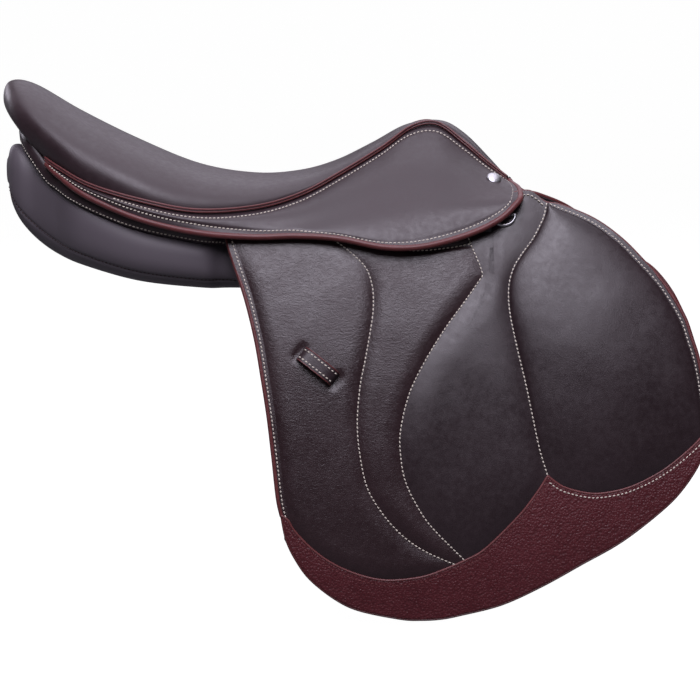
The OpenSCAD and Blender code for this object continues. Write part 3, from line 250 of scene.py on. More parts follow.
def spline(table, t):
    """Smooth curve through the rows of a table: a cubic between neighbours whose slope at a row is half
    the step from the row before to the row after, with t from 0 to 1."""
    p = np.asarray(table, float)
    n = len(p) - 1
    s = np.clip(np.asarray(t, float), 0.0, 1.0) * n
    i = np.minimum(s.astype(int), n - 1)
    f = (s - i)[..., None]
    a, b, c, d = (p[np.clip(i + k, 0, n)] for k in (-1, 0, 1, 2))
    return b + f * ((c - a) / 2 + f * (a - 2.5 * b + 2 * c - d / 2 + f * (1.5 * (b - c) + (d - a) / 2)))


def even(line, count, weight=None):
    """The same line with its points spread evenly along its length."""
    line = np.asarray(line, float)
    step = np.diff(line, axis=0) * (1.0 if weight is None else np.asarray(weight))
    run = np.r_[0.0, np.cumsum(np.linalg.norm(step, axis=1))]
    place = np.linspace(0.0, run[-1], count)
    return np.stack([np.interp(place, run, line[:, k]) for k in range(line.shape[1])], -1)


def sample(line, t):
    """Point of an evenly spread line at t from 0 to 1, for a whole array of t."""
    at = np.linspace(0.0, 1.0, len(line))
    return np.stack([np.interp(t, at, line[:, k]) for k in range(line.shape[1])], -1)


def traced(table, count=240):
    """A table's curve on the flap, spread evenly along its length."""
    return even(spline(table, np.linspace(0, 1, 4 * count)), count, FLAP_SIZE)


def rolled(distance, reach):
    """Rise of a rolled edge: a quarter circle from 0 at the edge to 1 at reach."""
    x = 1.0 - np.clip(distance / reach, 0.0, 1.0)
    return np.sqrt(np.clip(1.0 - x * x, 0.0, 1.0))


def eased(distance, reach):
    """Rise of a soft shoulder: a half wave from 0 at the edge to 1 at reach."""
    return 0.5 - 0.5 * np.cos(np.pi * np.clip(distance / reach, 0.0, 1.0))


def stuffed(distance, reach):
    """Rise of a stuffed pad: steep at its seam, then ever gentler up to 1 at reach."""
    return 1.0 - (1.0 - np.clip(distance / reach, 0.0, 1.0)) ** 2.2


def groove(distance, place, half):
    """Bell curve that is 1 where the distance equals place and fades over half."""
    return np.exp(-(((distance - place) / half) ** 2))


# ---------------------------------------------------------------- solids as points and faces

def quads(rows, columns, wrap=False):
    """Faces between neighbours of a grid of points, row by row; wrap joins the last column to the first."""
    i = np.arange(rows - 1)[:, None]
    j = np.arange(columns if wrap else columns - 1)[None, :]
    a, b = i * columns + j, i * columns + (j + 1) % columns
    return np.stack([a, b, b + columns, a + columns], -1).reshape(-1, 4)


def shell(outer, inner):
    """Closed wall between two equal grids: both faces and a strip round their common border."""
    r, c = outer.shape[:2]
    n = r * c
    top = quads(r, c)
    ring = np.r_[np.arange(c), np.arange(1, r) * c + c - 1, (r - 1) * c + np.arange(c - 2, -1, -1),
                 np.arange(r - 2, 0, -1) * c]
    ahead = np.roll(ring, -1)
    rim = np.stack([ahead, ring, ring + n, ahead + n], -1)
    points = np.concatenate([outer.reshape(-1, 3), inner.reshape(-1, 3)])
    return points, [np.concatenate([top, top[:, ::-1] + n, rim])]


def loft(rings):
    """Closed skin through rings of equal count, with a flat face on each end."""
    m, n = rings.shape[:2]
    ends = np.stack([np.arange(n)[::-1], np.arange(n) + (m - 1) * n])
    return rings.reshape(-1, 3), [quads(m, n, True), ends]


def cord(path, wide, high, up, sides=12):
    """Oval cord along a path: a ring is wide times the cosine across the path plus high times the sine on
    its upward side, and three smaller rings round off each end."""
    run = unit(np.gradient(path, axis=0))
    u = unit(np.cross(np.broadcast_to(up, path.shape), run))
    v = np.cross(run, u)
    a = np.arange(sides) * 2 * np.pi / sides
    oval = wide * np.cos(a)[:, None] * u[:, None] + high * np.sin(a)[:, None] * v[:, None]
    turn = np.radians([15.0, 43.0, 68.0])[:, None, None]
    reach = min(wide, high) * np.cos(turn)
    first = path[0] - reach * run[0] + np.sin(turn) * oval[0]
    last = path[-1] + reach * run[-1] + np.sin(turn) * oval[-1]
    return loft(np.concatenate([first, path[:, None] + oval, last[::-1]]))


def sewn(path, out, lift=0.0):
    """Row of saddle stitches: a six-sided bead at every pitch along the path, thickest in its middle,
    with ends that dip into the leather and a slight slant."""
    chosen = sizes()
    pitch, length, width = chosen.stitch_pitch / MM, chosen.stitch_length / MM, chosen.stitch_width / MM
    run = np.r_[0.0, np.cumsum(np.linalg.norm(np.diff(path, axis=0), axis=1))]
    count = max(int(run[-1] / pitch), 1)
    place = (np.arange(count) + 0.5) * run[-1] / count
    follow = lambda line, s: np.stack([np.interp(s, run, line[:, k]) for k in range(3)], -1)
    n = unit(follow(np.broadcast_to(out, path.shape), place))
    ahead = follow(path, place + 0.4 * pitch) - follow(path, place - 0.4 * pitch)
    ahead = unit(ahead - np.sum(ahead * n, -1, keepdims=True) * n)
    aside = np.cross(n, ahead)
    ahead, aside = unit(ahead + 0.12 * aside), unit(aside - 0.12 * ahead)
    along, swell = STITCH_RINGS[:, 0] * length, STITCH_RINGS[:, 1] * width / 2
    sink = STITCH_RINGS[:, 2] * width / 2 + lift
    a = np.arange(6) * np.pi / 3
    across, high = swell[:, None] * np.cos(a), swell[:, None] * np.sin(a) + sink[:, None]
    points = (follow(path, place)[:, None, None] + along[:, None, None] * ahead[:, None, None]
              + across[..., None] * aside[:, None, None] + high[..., None] * n[:, None, None])
    start = 30 * np.arange(count)[:, None, None]
    skin = (quads(5, 6, True) + start).reshape(-1, 4)
    caps = (np.stack([np.arange(6)[::-1], np.arange(6) + 24]) + start).reshape(-1, 6)
    return points.reshape(-1, 3), [skin, caps]


def make(name, solids, look, side="right", sharp=40.0):
    """One object from a list of solids, in metres with faces outward; the left one has y turned over."""
    points, faces, start = [], [], 0
    for cloud, blocks in solids:
        cloud = np.asarray(cloud, float).reshape(-1, 3)
        points.append(cloud)
        for block in blocks:
            faces.extend((np.asarray(block) + start).tolist())
        start += len(cloud)
    turn = np.array([1.0, -1.0 if side == "left" else 1.0, 1.0])
    mesh = bpy.data.meshes.new(name)
    mesh.from_pydata((np.concatenate(points) * MM * turn).tolist(), [], faces)
    skin = bmesh.new()
    skin.from_mesh(mesh)
    bmesh.ops.recalc_face_normals(skin, faces=skin.faces)
    skin.to_mesh(mesh)
    skin.free()
    mesh.shade_smooth()
    mesh.set_sharp_from_angle(angle=np.radians(sharp))
    mesh.materials.append(finish(look))
    piece = bpy.data.objects.new(name, mesh)
    bpy.context.scene.collection.objects.link(piece)
    return piece


def copied(node, name, look, bevel):
    """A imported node's own mesh as a new piece: merged, with its sharp edges rounded."""
    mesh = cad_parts[node].data.copy()
    mesh.name = name
    skin = bmesh.new()
    skin.from_mesh(mesh)
    bmesh.ops.remove_doubles(skin, verts=skin.verts, dist=1e-5)
    bmesh.ops.dissolve_limit(skin, angle_limit=np.radians(0.8), verts=skin.verts, edges=skin.edges)
    skin.to_mesh(mesh)
    skin.free()
    mesh.shade_smooth()
    mesh.materials.clear()
    mesh.materials.append(finish(look))
    piece = bpy.data.objects.new(name, mesh)
    bpy.context.scene.collection.objects.link(piece)
    edge = piece.modifiers.new("rounded_edges", "BEVEL")
    edge.width, edge.segments, edge.limit_method = bevel * MM, 3, "ANGLE"
    edge.angle_limit, edge.harden_normals = np.radians(35.0), True
    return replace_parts(piece, node)


def domed(centre, out):
    """Domed nail head: rings that shrink as they rise along the outward direction."""
    a = np.arange(40)[:, None] * np.pi / 20
    one = unit(np.cross(out, [0.0, 0.0, 1.0]))
    two = np.cross(out, one)
    radius, rise = np.array(NAIL_RADII)[:, None, None], np.array(NAIL_RISES)[:, None, None]
    return loft(centre + radius * (np.cos(a) * one + np.sin(a) * two) + rise * out)


# ---------------------------------------------------------------- the saddle's own surfaces

def seat_x(share):
    """Place along the horse of a share of the seat's length."""
    return SEAT_FRONT - share * SEAT_LENGTH


def seat_mid(table, t):
    """Middle line of the seat, from the table's shares."""
    p = spline(table, t)
    return np.stack([seat_x(p[..., 0]), 0 * p[..., 0], p[..., 1] * SEAT_HEIGHT], -1)


def seat_side(table, t):
    """Right side line of the seat, from the table's shares."""
    p = spline(table, t)
    return np.stack([seat_x(p[..., 0]), -p[..., 1] * SEAT_WIDTH / 2, p[..., 2] * SEAT_HEIGHT], -1)


def across(middle, edge, w):
    """Arch from side to side: y goes with the sine of w, and the fall from middle to edge with a power of
    its cosine."""
    f = np.maximum(np.cos(np.pi / 2 * w), 0.0) ** SEAT_FLAT
    return np.stack([mix(edge[..., 0], middle[..., 0], f), edge[..., 1] * np.sin(np.pi / 2 * w),
                     mix(edge[..., 2], middle[..., 2], f)], -1)


def seat_layer(t, w, depth=0.0):
    """Seat surface: t from the front foot to the back seam, w from -1 to 1 across, depth inward."""
    d = seat_mid(SEAT_CENTRE, t + 0.01) - seat_mid(SEAT_CENTRE, t - 0.01)
    out = unit(np.stack([d[..., 2], 0 * d[..., 0], -d[..., 0]], -1))
    return across(seat_mid(SEAT_CENTRE, t) - depth * out,
                  seat_side(SEAT_EDGE, t) + depth * np.array([0.0, 1.0, -0.5]), w)


def floor_layer(t, w, depth=0.0):
    """Surface under the seat foam, lowered by depth."""
    return across(seat_mid(FLOOR_CENTRE, t), seat_side(FLOOR_EDGE, t), w) - np.array([0.0, 0.0, depth])


def span(start, end, rows, columns, low=-1.0, high=1.0):
    """Grid of t down and w across."""
    return np.linspace(start, end, rows)[:, None], np.linspace(low, high, columns)[None, :]


# Seat edge from the cantle to the front foot, along which a skirt hangs
SEAM_ROWS = SEAT_EDGE[14::-1]


def outward(v):
    """The direction turned away from the middle of the horse."""
    v = unit(v)
    return np.where(v[..., 1:2] > 0, -v, v)


def skirt_seam(t):
    """Upper edge of the skirt, just under the piping."""
    return seat_side(SEAM_ROWS, t) - np.array([0.0, 0.6, 2.2])


def skirt_edge(t):
    """Lower edge of the skirt."""
    return seat_side(SKIRT_EDGE, t)


def skirt_fold(u):
    """Straight fold on which the front of the skirt lifts."""
    u = np.asarray(u, float)[..., None]
    return mix(skirt_edge(np.float64(LIP_START)), skirt_edge(np.float64(1.0)), u)


def lip_place(t):
    """Share along the fold of the skirt's t."""
    return np.clip((t - LIP_START) / (1.0 - LIP_START), 0.0, 1.0)


def skirt_flat(t, w):
    """Straight lines from the seam to the lower edge, or to the fold where there is one."""
    low = np.where((t < LIP_START)[..., None], skirt_edge(t), skirt_fold(lip_place(t)))
    return mix(skirt_seam(t), low, np.asarray(w, float)[..., None])


def skirt_out(t):
    """Outward direction of the skirt halfway down."""
    half = np.full(np.shape(t), 0.5)
    run = skirt_flat(np.minimum(t + 0.02, 1.0), half) - skirt_flat(np.maximum(t - 0.02, 0.0), half)
    return outward(np.cross(run, skirt_flat(t, half + 0.5) - skirt_flat(t, half - 0.5)))


def lip_drop(u):
    """Step from the fold to the lip's lower edge."""
    return skirt_edge(mix(LIP_START, 1.0, u)) - skirt_fold(u)


def lip_out(u):
    """Outward direction of the lip."""
    u = np.clip(u, 0.05, 0.95)
    return outward(np.cross(skirt_fold(1.0) - skirt_fold(0.0), lip_drop(u)))


def skirt_layer(t, q, depth=0.0):
    """Whole skirt: q from the seam over the fold to the lower edge. Above the fold it swells with the
    squared sine of its height, below it is straight; depth is inward."""
    u = lip_place(t)
    out = skirt_out(t)
    lip = lip_out(u)
    bent = np.where((t < LIP_START)[..., None], out, unit(out + lip))
    upper = np.linalg.norm(skirt_flat(t, np.ones_like(t)) - skirt_seam(t), axis=-1)
    lower = np.where(t < LIP_START, 0.0, np.linalg.norm(lip_drop(u), axis=-1))
    k = upper / (upper + lower)
    w = np.clip(q / k, 0.0, 1.0)
    v = np.clip((q - k) / np.maximum(1.0 - k, 1e-6), 0.0, 1.0)[..., None]
    depth = np.asarray(depth, float)[..., None]
    t, u = np.broadcast_to(t, w.shape), np.broadcast_to(u, w.shape)
    fade = np.minimum(1.0, 4 * t) * (1.0 - 0.8 * eased(t - 0.82, 0.18))
    swell = (SKIRT_SWELL * fade * np.sin(np.pi * w) ** 2)[..., None]
    above = skirt_flat(t, w) + swell * out - depth * unit(mix(out, bent, w[..., None]))
    below = skirt_fold(u) + lip_drop(u) * v - depth * unit(mix(bent, lip, v))
    return np.where((q <= k)[..., None], above, below)


def skirt_width(t):
    """Length of the skirt's leather from the seam to its lower edge."""
    upper = np.linalg.norm(skirt_flat(t, np.ones_like(t)) - skirt_seam(t), axis=-1)
    return upper + np.where(t < LIP_START, 0.0, np.linalg.norm(lip_drop(lip_place(t)), axis=-1))


def flap_point(x, s, h):
    """Flap surface: a round barrel's side, x along the horse, s down the leather, h outward."""
    x, s, h = np.broadcast_arrays(x, s, h)
    a = np.radians(FLAP_LEAN) - s / BARREL_R
    return np.stack([x, BARREL_Y - (BARREL_R + h) * np.cos(a), BARREL_Z + (BARREL_R + h) * np.sin(a)], -1)


def flap_out(s):
    """Outward direction of the flap at s down the leather."""
    a = np.radians(FLAP_LEAN) - np.asarray(s, float) / BARREL_R
    return np.stack([0 * a, -np.cos(a), np.sin(a)], -1)


def flap_x(share):
    """Place along the horse of a share of the flap's width."""
    return FLAP_FRONT + (share - 1) * FLAP_WIDTH


def on_leather(p, h):
    """Place on the flap of a pair of shares, h outward."""
    return flap_point(flap_x(p[..., 0]), p[..., 1] * FLAP_DROP, h)


def leather_out(p):
    """Outward direction of the flap at a pair of shares."""
    return flap_out(p[..., 1] * FLAP_DROP)


def flap_gap(a, b):
    """Distance along the leather between pairs of shares."""
    return np.linalg.norm((a - b) * FLAP_SIZE, axis=-1)


def flap_even(line, count):
    """A line of pairs of shares, spread evenly along the leather."""
    return even(line, count, FLAP_SIZE)


def base_top(s):
    """Outer face of the base leather: the flap's own, and above the fold the thicker head's."""
    return FLAP_T + (HEAD_T - FLAP_T) * eased(-s, 6.0)


def grid_at(grid, a, b):
    """Point of an even grid at shares a down and b across, between its four neighbours."""
    r, c = grid.shape[:2]
    i, j = np.clip(a, 0.0, 1.0) * (r - 1), np.clip(b, 0.0, 1.0) * (c - 1)
    m, n = np.minimum(i.astype(int), r - 2), np.minimum(j.astype(int), c - 2)
    f, g = (i - m)[..., None], (j - n)[..., None]
    return mix(mix(grid[m, n], grid[m, n + 1], g), mix(grid[m + 1, n], grid[m + 1, n + 1], g), f)


def softened(line, times):
    """The same points, each drawn towards its neighbours in the first axis a number of times."""
    line = line.copy()
    for _ in range(times):
        line[1:-1] = 0.25 * line[:-2] + 0.5 * line[1:-1] + 0.25 * line[2:]
    return line


def patch(left, right, top, low, u, v):
    """Surface between four curves: the blends of opposite sides, less the blend of the four corners."""
    a, b = u[..., None], v[..., None]
    corners = mix(mix(left[0], right[0], a), mix(left[-1], right[-1], a), b)
    return mix(sample(left, v), sample(right, v), a) + mix(sample(top, u), sample(low, u), b) - corners


def panel_point(t, turn, grow=0.0):
    """Panel cushion: at t along its stations, a rounded section whose out and up go with powers of the
    cosine and sine of turn, then tilted; grow stands outward."""
    p = spline(PANEL_STATIONS, t)
    c, s, tilt = np.cos(np.radians(turn)), np.sin(np.radians(turn)), np.radians(p[..., 5])
    out = (p[..., 3] * PANEL_HALF_W + grow) * np.sign(c) * np.abs(c) ** PANEL_SQUARE
    up = (p[..., 4] * PANEL_HALF_D + grow) * np.sign(s) * np.abs(s) ** PANEL_SQUARE
    return np.stack([seat_x(p[..., 0]) + 0 * out,
                     -p[..., 1] * FLAP_SPREAD / 2 - out * np.cos(tilt) - up * np.sin(tilt),
                     p[..., 2] * SEAT_HEIGHT + up * np.cos(tilt) - out * np.sin(tilt)], -1)


def band_path():
    """Middle of the rolled band: along the right panel, round the back and along the left panel."""
    side_path = panel_point(np.linspace(0.62, 0.27, 13), np.full(13, BAND_TURN), BAND_HALF_H)
    back = np.array([[seat_x(p[0]), -p[1] * SEAT_WIDTH / 2, p[2] * SEAT_HEIGHT] for p in BAND_BACK])
    half = np.concatenate([side_path, back])
    whole = np.concatenate([half, half[-2::-1] * np.array([1.0, -1.0, 1.0])])
    return even(spline(whole, np.linspace(0, 1, 900)), 360)


# ---------------------------------------------------------------- finishes

class Finish:
    """A material that is put together node by node on Object coordinates."""

    def __init__(self, name, **sockets):
        self.material = bpy.data.materials.new(name)
        self.material.use_nodes = True
        self.tree = self.material.node_tree
        self.tree.nodes.clear()
        self.shader = self.add("ShaderNodeBsdfPrincipled", **sockets)
        self.add("ShaderNodeOutputMaterial", Surface=self.shader.outputs[0])
        self.place = self.add("ShaderNodeTexCoord").outputs["Object"]

    def add(self, kind, settings=(), **sockets):
        """A node with its settings, and with numbers or links on its inputs."""
        node = self.tree.nodes.new(kind)
        for key, value in dict(settings).items():
            setattr(node, key, value)
        for key, value in sockets.items():
            self.set(node, key.replace("_", " "), value)
        return node

    def set(self, node, key, value):
        """One input: a link from another node's socket, or a plain value."""
        socket = node.inputs[key]
        if isinstance(value, bpy.types.NodeSocket):
            self.tree.links.new(value, socket)
        else:
            socket.default_value = value

    def stretched(self, x, y, z, turn=(0.0, 0.0, 0.0)):
        """Coordinates scaled along each axis, so a pattern runs longer one way."""
        return self.add("ShaderNodeMapping", Vector=self.place, Scale=(x, y, z), Rotation=turn).outputs[0]

    def noise(self, scale, detail=3.0, roughness=0.55, vector=None, distortion=0.0):
        """Cloudy pattern, from 0 to 1."""
        node = self.add("ShaderNodeTexNoise", Scale=scale, Detail=detail, Roughness=roughness,
                        Distortion=distortion, Vector=self.place if vector is None else vector)
        return node.outputs["Fac"]

    def cells(self, scale, smooth=0.35):
        """Rounded pebbles: distance from the middle of each cell."""
        node = self.add("ShaderNodeTexVoronoi", {"feature": "SMOOTH_F1"}, Scale=scale, Smoothness=smooth,
                        Vector=self.place)
        return node.outputs["Distance"]

    def sums(self, operation, a, b):
        """Arithmetic on two numbers or sockets."""
        node = self.add("ShaderNodeMath", {"operation": operation})
        self.set(node, 0, a)
        self.set(node, 1, b)
        return node.outputs[0]

    def range(self, value, low, high, start=0.0, end=1.0):
        """Stretch of a pattern between two values."""
        return self.add("ShaderNodeMapRange", Value=value, From_Min=start, From_Max=end, To_Min=low,
                        To_Max=high).outputs[0]

    def blend(self, fac, a, b):
        """Colour between two colours."""
        node = self.add("ShaderNodeMix", {"data_type": "RGBA"})
        self.set(node, 0, fac)
        self.set(node, 6, a)
        self.set(node, 7, b)
        return node.outputs[2]

    def bump(self, height, depth, normal=None):
        """Relief of a given depth in metres."""
        node = self.add("ShaderNodeBump", Height=height, Distance=depth, Strength=1.0)
        if normal is not None:
            self.set(node, "Normal", normal)
        return node.outputs[0]

    def wear(self, colour=None, roughness=None, normal=None):
        """Joins the patterns to the shader."""
        for key, value in (("Base Color", colour), ("Roughness", roughness), ("Normal", normal)):
            if value is not None:
                self.set(self.shader, key, value)
        return self.material


def shade(colour, factor):
    """A colour made lighter or darker."""
    return tuple(float(min(c * factor, 1.0)) for c in colour[:3]) + (1.0,)


def leather(name, colour, grain, relief, rough, wrinkle=0.0, spec=0.5, worn=1.5):
    """Dyed leather: cloudy tone, pebbled grain with darker creases, fine wrinkles and rubbed places."""
    f = Finish(name, Specular_IOR_Level=spec, Sheen_Weight=0.04, Sheen_Roughness=0.5)
    clouds = f.noise(11.0, 4.0, 0.6)
    fine = f.noise(210.0, 3.0, 0.6)
    pebble = f.cells(1.0 / grain)
    tone = f.blend(f.range(clouds, 0.0, 1.0, 0.32, 0.68), shade(colour, 0.86), shade(colour, 1.16))
    tone = f.blend(f.range(fine, 0.0, 0.35, 0.45, 0.75), tone, shade(colour, worn))
    tone = f.blend(f.range(pebble, 0.0, 0.45, 0.45, 0.8), tone, shade(colour, 0.55))
    roughness = f.range(f.sums("ADD", clouds, fine), rough - 0.06, rough + 0.08, 0.75, 1.25)
    normal = f.bump(f.range(pebble, 1.0, 0.0), relief)
    if wrinkle:
        folds = f.noise(1.0, 4.0, 0.6, f.stretched(230.0, 230.0, 420.0), 1.2)
        normal = f.bump(folds, wrinkle, normal)
    normal = f.bump(f.noise(26.0, 2.0, 0.5), 0.0006, normal)
    return f.wear(tone, roughness, normal)


def thread_finish(name, colour):
    """Waxed linen: a fine slanting twist and soiled patches."""
    f = Finish(name, Sheen_Weight=0.2, Specular_IOR_Level=0.3)
    twist = f.noise(1.0, 1.0, 0.4, f.stretched(2600.0, 2600.0, 900.0, (0.0, 0.6, 0.3)))
    soil = f.noise(60.0, 3.0, 0.6)
    tone = f.blend(f.range(soil, 0.0, 0.7, 0.35, 0.75), shade(colour, 1.0), shade(colour, 0.72))
    return f.wear(tone, f.range(twist, 0.55, 0.8), f.bump(twist, 0.0001))


def steel(name, colour, rough, brush):
    """Metal: faint brushed lines, smudges and tiny dents."""
    f = Finish(name, Metallic=1.0)
    lines = f.noise(1.0, 2.0, 0.5, f.stretched(160.0, 2400.0, 2400.0))
    smudge = f.noise(70.0, 4.0, 0.6)
    tone = f.blend(f.range(smudge, 0.0, 1.0, 0.3, 0.7), shade(colour, 0.88), shade(colour, 1.06))
    roughness = f.range(f.sums("ADD", lines, smudge), rough * 0.7, rough * 1.4, 0.7, 1.3)
    return f.wear(tone, roughness, f.bump(lines, brush))


def webbing(name, colour):
    """Woven linen: warp and weft as two crossed waves, with uneven threads."""
    f = Finish(name, Sheen_Weight=0.3, Specular_IOR_Level=0.2)
    wave = lambda turn: f.add("ShaderNodeTexWave", {"bands_direction": turn}, Scale=110.0, Distortion=0.6,
                              Detail=1.0, Vector=f.place).outputs["Fac"]
    weave = f.sums("MAXIMUM", wave("X"), wave("Z"))
    uneven = f.range(f.noise(90.0, 4.0, 0.65), 0.0, 1.0, 0.3, 0.7)
    tone = f.blend(uneven, shade(colour, 0.8), shade(colour, 1.1))
    tone = f.blend(f.range(weave, 0.4, 0.0), tone, shade(colour, 0.5))
    return f.wear(tone, f.range(weave, 0.9, 0.75), f.bump(weave, 0.0003))


def moulded(name, colour):
    """Moulded composite: dull, with a fine pitted skin and paler flow marks."""
    f = Finish(name, Specular_IOR_Level=0.4)
    flow = f.noise(1.0, 4.0, 0.6, f.stretched(18.0, 40.0, 40.0), 0.8)
    pits = f.noise(900.0, 2.0, 0.5)
    tone = f.blend(f.range(flow, 0.0, 1.0, 0.3, 0.7), shade(colour, 0.8), shade(colour, 1.25))
    return f.wear(tone, f.range(pits, 0.5, 0.68), f.bump(pits, 0.0001))


def foam(name, colour):
    """Seat padding: open pores and a yellowed tone."""
    f = Finish(name, Specular_IOR_Level=0.15)
    pores = f.cells(420.0, 0.15)
    tone = f.blend(f.range(f.noise(20.0), 0.0, 1.0, 0.3, 0.7), shade(colour, 0.85), shade(colour, 1.05))
    tone = f.blend(f.range(pores, 0.5, 0.0, 0.0, 0.35), tone, shade(colour, 0.6))
    return f.wear(tone, f.range(pores, 0.95, 0.85), f.bump(pores, 0.0006))


# ---------------------------------------------------------------- what a user may change

def colour_property(name, description, default):
    """A colour with its own name and default."""
    return FloatVectorProperty(name=name, description=description, default=default, size=3, min=0.0, max=1.0,
                               subtype="COLOR")


def length_property(name, description, default):
    """A length in metres with its own name and default."""
    return FloatProperty(name=name, description=description, default=default, min=0.0, unit="LENGTH",
                         precision=4)


class SaddleColours(bpy.types.PropertyGroup):
    """Colours of the saddle's finishes"""
    dark: colour_property("Dark leather", "Leather of the seat and the skirts", (0.023, 0.0118, 0.015))
    milled: colour_property("Milled leather", "Leather of the rear and centre pads", (0.0185, 0.0068, 0.0088))
    smooth: colour_property("Smooth leather", "Leather of the calf and knee pads", (0.0165, 0.0082, 0.0105))
    panel: colour_property("Panel leather", "Leather of the panel cushions", (0.028, 0.0125, 0.0148))
    burgundy: colour_property("Burgundy leather", "Piping, bindings and cut edges", (0.098, 0.024, 0.024))
    grained: colour_property("Grained burgundy", "Guard along the flap's lower edge", (0.070, 0.0095, 0.0130))
    thread: colour_property("Thread", "Contrast stitching", (0.62, 0.57, 0.48))
    tonal: colour_property("Tonal thread", "Stitching in the leather's own tone", (0.055, 0.03, 0.03))
    bright: colour_property("Bright metal", "Nails and dee rings", (0.52, 0.52, 0.54))
    plain: colour_property("Plain steel", "Head plate, springs, rivets and stirrup bars", (0.44, 0.45, 0.47))
    shell: colour_property("Tree", "Moulded tree", (0.035, 0.035, 0.038))
    padding: colour_property("Padding", "Foam of the seat", (0.6, 0.5, 0.3))
    web: colour_property("Webbing", "Seat web and girth webs", (0.55, 0.5, 0.4))
    floor: colour_property("Floor", "Studio floor and backdrop", (0.14, 0.14, 0.14))


class SaddleSizes(bpy.types.PropertyGroup):
    """Sizes of the saddle's soft detail"""
    pad_rise: length_property("Pad rise", "Rise of the flap's pads above their seams", 0.0022)
    knee_rise: length_property("Knee pad rise", "Rise of the knee pad above its seams", 0.009)
    stitch_pitch: length_property("Stitch pitch", "Distance between two stitches", 0.0034)
    stitch_length: length_property("Stitch length", "Length of a stitch", 0.0023)
    stitch_width: length_property("Stitch width", "Thickness of the thread", 0.0011)
    hem: length_property("Hem", "Distance of a stitch row from its edge", 0.0038)


def palette():
    """The chosen colours."""
    return bpy.context.scene.saddle_colours


def sizes():
    """The chosen sizes."""
    return bpy.context.scene.saddle_sizes


def finish(name):
    """A finish by name, made the first time it is asked for."""
    if name in bpy.data.materials:
        return bpy.data.materials[name]
    c = palette()
    makers = {
        "seat_leather": lambda n: leather(n, c.dark, 0.0007, 0.00004, 0.44),
        "skirt_leather": lambda n: leather(n, c.dark, 0.0007, 0.00004, 0.42),
        "milled_leather": lambda n: leather(n, c.milled, 0.0008, 0.00006, 0.36, wrinkle=0.00024),
        "calf_leather": lambda n: leather(n, c.smooth, 0.0007, 0.00004, 0.36, wrinkle=0.00004),
        "panel_leather": lambda n: leather(n, c.panel, 0.0007, 0.00004, 0.44, wrinkle=0.0001, spec=0.42),
        "under_leather": lambda n: leather(n, c.smooth, 0.0009, 0.00005, 0.55),
        "burgundy_edge": lambda n: leather(n, c.burgundy, 0.0008, 0.00004, 0.38, spec=0.35, worn=1.9),
        # Guard rims: the burgundy made 15% lighter, a painted highlight along the rolled rims
        "burgundy_rim_highlight": lambda n: leather(n, shade(c.burgundy, 1.15), 0.0008, 0.00004, 0.42, spec=0.4,
                                          worn=1.9),
        "grained_burgundy": lambda n: leather(n, c.grained, 0.0018, 0.0005, 0.42, wrinkle=0.00025, spec=0.34),
        "thread": lambda n: thread_finish(n, c.thread),
        "tonal_thread": lambda n: thread_finish(n, c.tonal),
        "guard_thread": lambda n: thread_finish(n, shade(c.burgundy, 1.3)),
        "bright_metal": lambda n: steel(n, c.bright, 0.36, 0.000005),
        "plain_metal": lambda n: steel(n, c.plain, 0.36, 0.00002),
        "tree_moulding": lambda n: moulded(n, c.shell),
        "seat_foam": lambda n: foam(n, c.padding),
        "linen_web": lambda n: webbing(n, c.web),
    }
    return makers[name](name)


# ---------------------------------------------------------------- flap details shared by its operators

EDGES = {name: traced(table) for name, table in (
    ("rear", REAR_EDGE), ("front", FRONT_EDGE), ("bottom", BOTTOM_EDGE), ("head", HEAD_TOP),
    ("rear_seam", REAR_SEAM), ("calf_seam", CALF_SEAM), ("knee_seam", KNEE_SEAM))}
GUARD_TOP = flap_even(np.concatenate([traced(GUARD_REAR), traced(GUARD_CENTRE, 20)[1:],
                                      traced(GUARD_CALF)[1:]]), 400)
GUARD_SCALLOP = traced(GUARD_KNEE)


def head_part(start, end):
    """Stretch of the flap's upper edge between two shares of its width."""
    line = spline(HEAD_TOP + FRONT_EDGE[1:3], np.linspace(0, 1, 600))
    keep = line[(line[:, 0] > start[0]) & (line[:, 0] < end[0])]
    return flap_even(np.concatenate([[start], keep, [end]]), 120)


def paired(name, corner, share):
    """A seam whose stretch up to a corner takes a share of its points, and the rest the others."""
    line = EDGES[name]
    part = np.argmin(flap_gap(line, np.array(corner)))
    first = int(len(line) * share)
    return np.concatenate([flap_even(line[:part + 1], first + 1)[:-1],
                           flap_even(line[part:], len(line) - first)])


def knee_sides():
    """Front side and top of the knee pad: the flap's front edge from just past the knee seam to the guard."""
    line = EDGES["front"]
    line = line[(line[:, 0] > KNEE_SEAM[0][0] + 0.012) & (line[:, 1] < 0.478)]
    right = flap_even(np.concatenate([line, [GUARD_KNEE[-1]]]), 240)
    return right, flap_even(np.array([KNEE_SEAM[0], line[0]]), 20)


# Each pad: its left and right sides, top and foot, the flat hem and shoulder on its left and right, and
# how far its top and foot shoulders reach
PADS = {
    "rear_pad": (EDGES["rear"], EDGES["rear_seam"], head_part(REAR_EDGE[0], REAR_SEAM[0]),
                 traced(GUARD_REAR), (5.6, 13.0), (0.6, 14.0), 12.0, 14.0),
    "centre_pad": (EDGES["rear_seam"], EDGES["calf_seam"], head_part(REAR_SEAM[0], CALF_SEAM[0]),
                   traced(GUARD_CENTRE, 20), (0.6, 14.0), (0.6, 15.0), 12.0, 14.0),
    "calf_pad": (paired("calf_seam", CALF_SEAM[5], 0.3), paired("knee_seam", KNEE_SEAM[6], 0.3),
                 head_part(CALF_SEAM[0], KNEE_SEAM[0]), traced(GUARD_CALF),
                 (0.6, 24.0), (0.6, 20.0), 14.0, 16.0),
    "knee_pad": (EDGES["knee_seam"], *knee_sides(), traced(GUARD_KNEE), (1.0, 0.0), (5.6, 0.0), 0.0, 0.0),
}
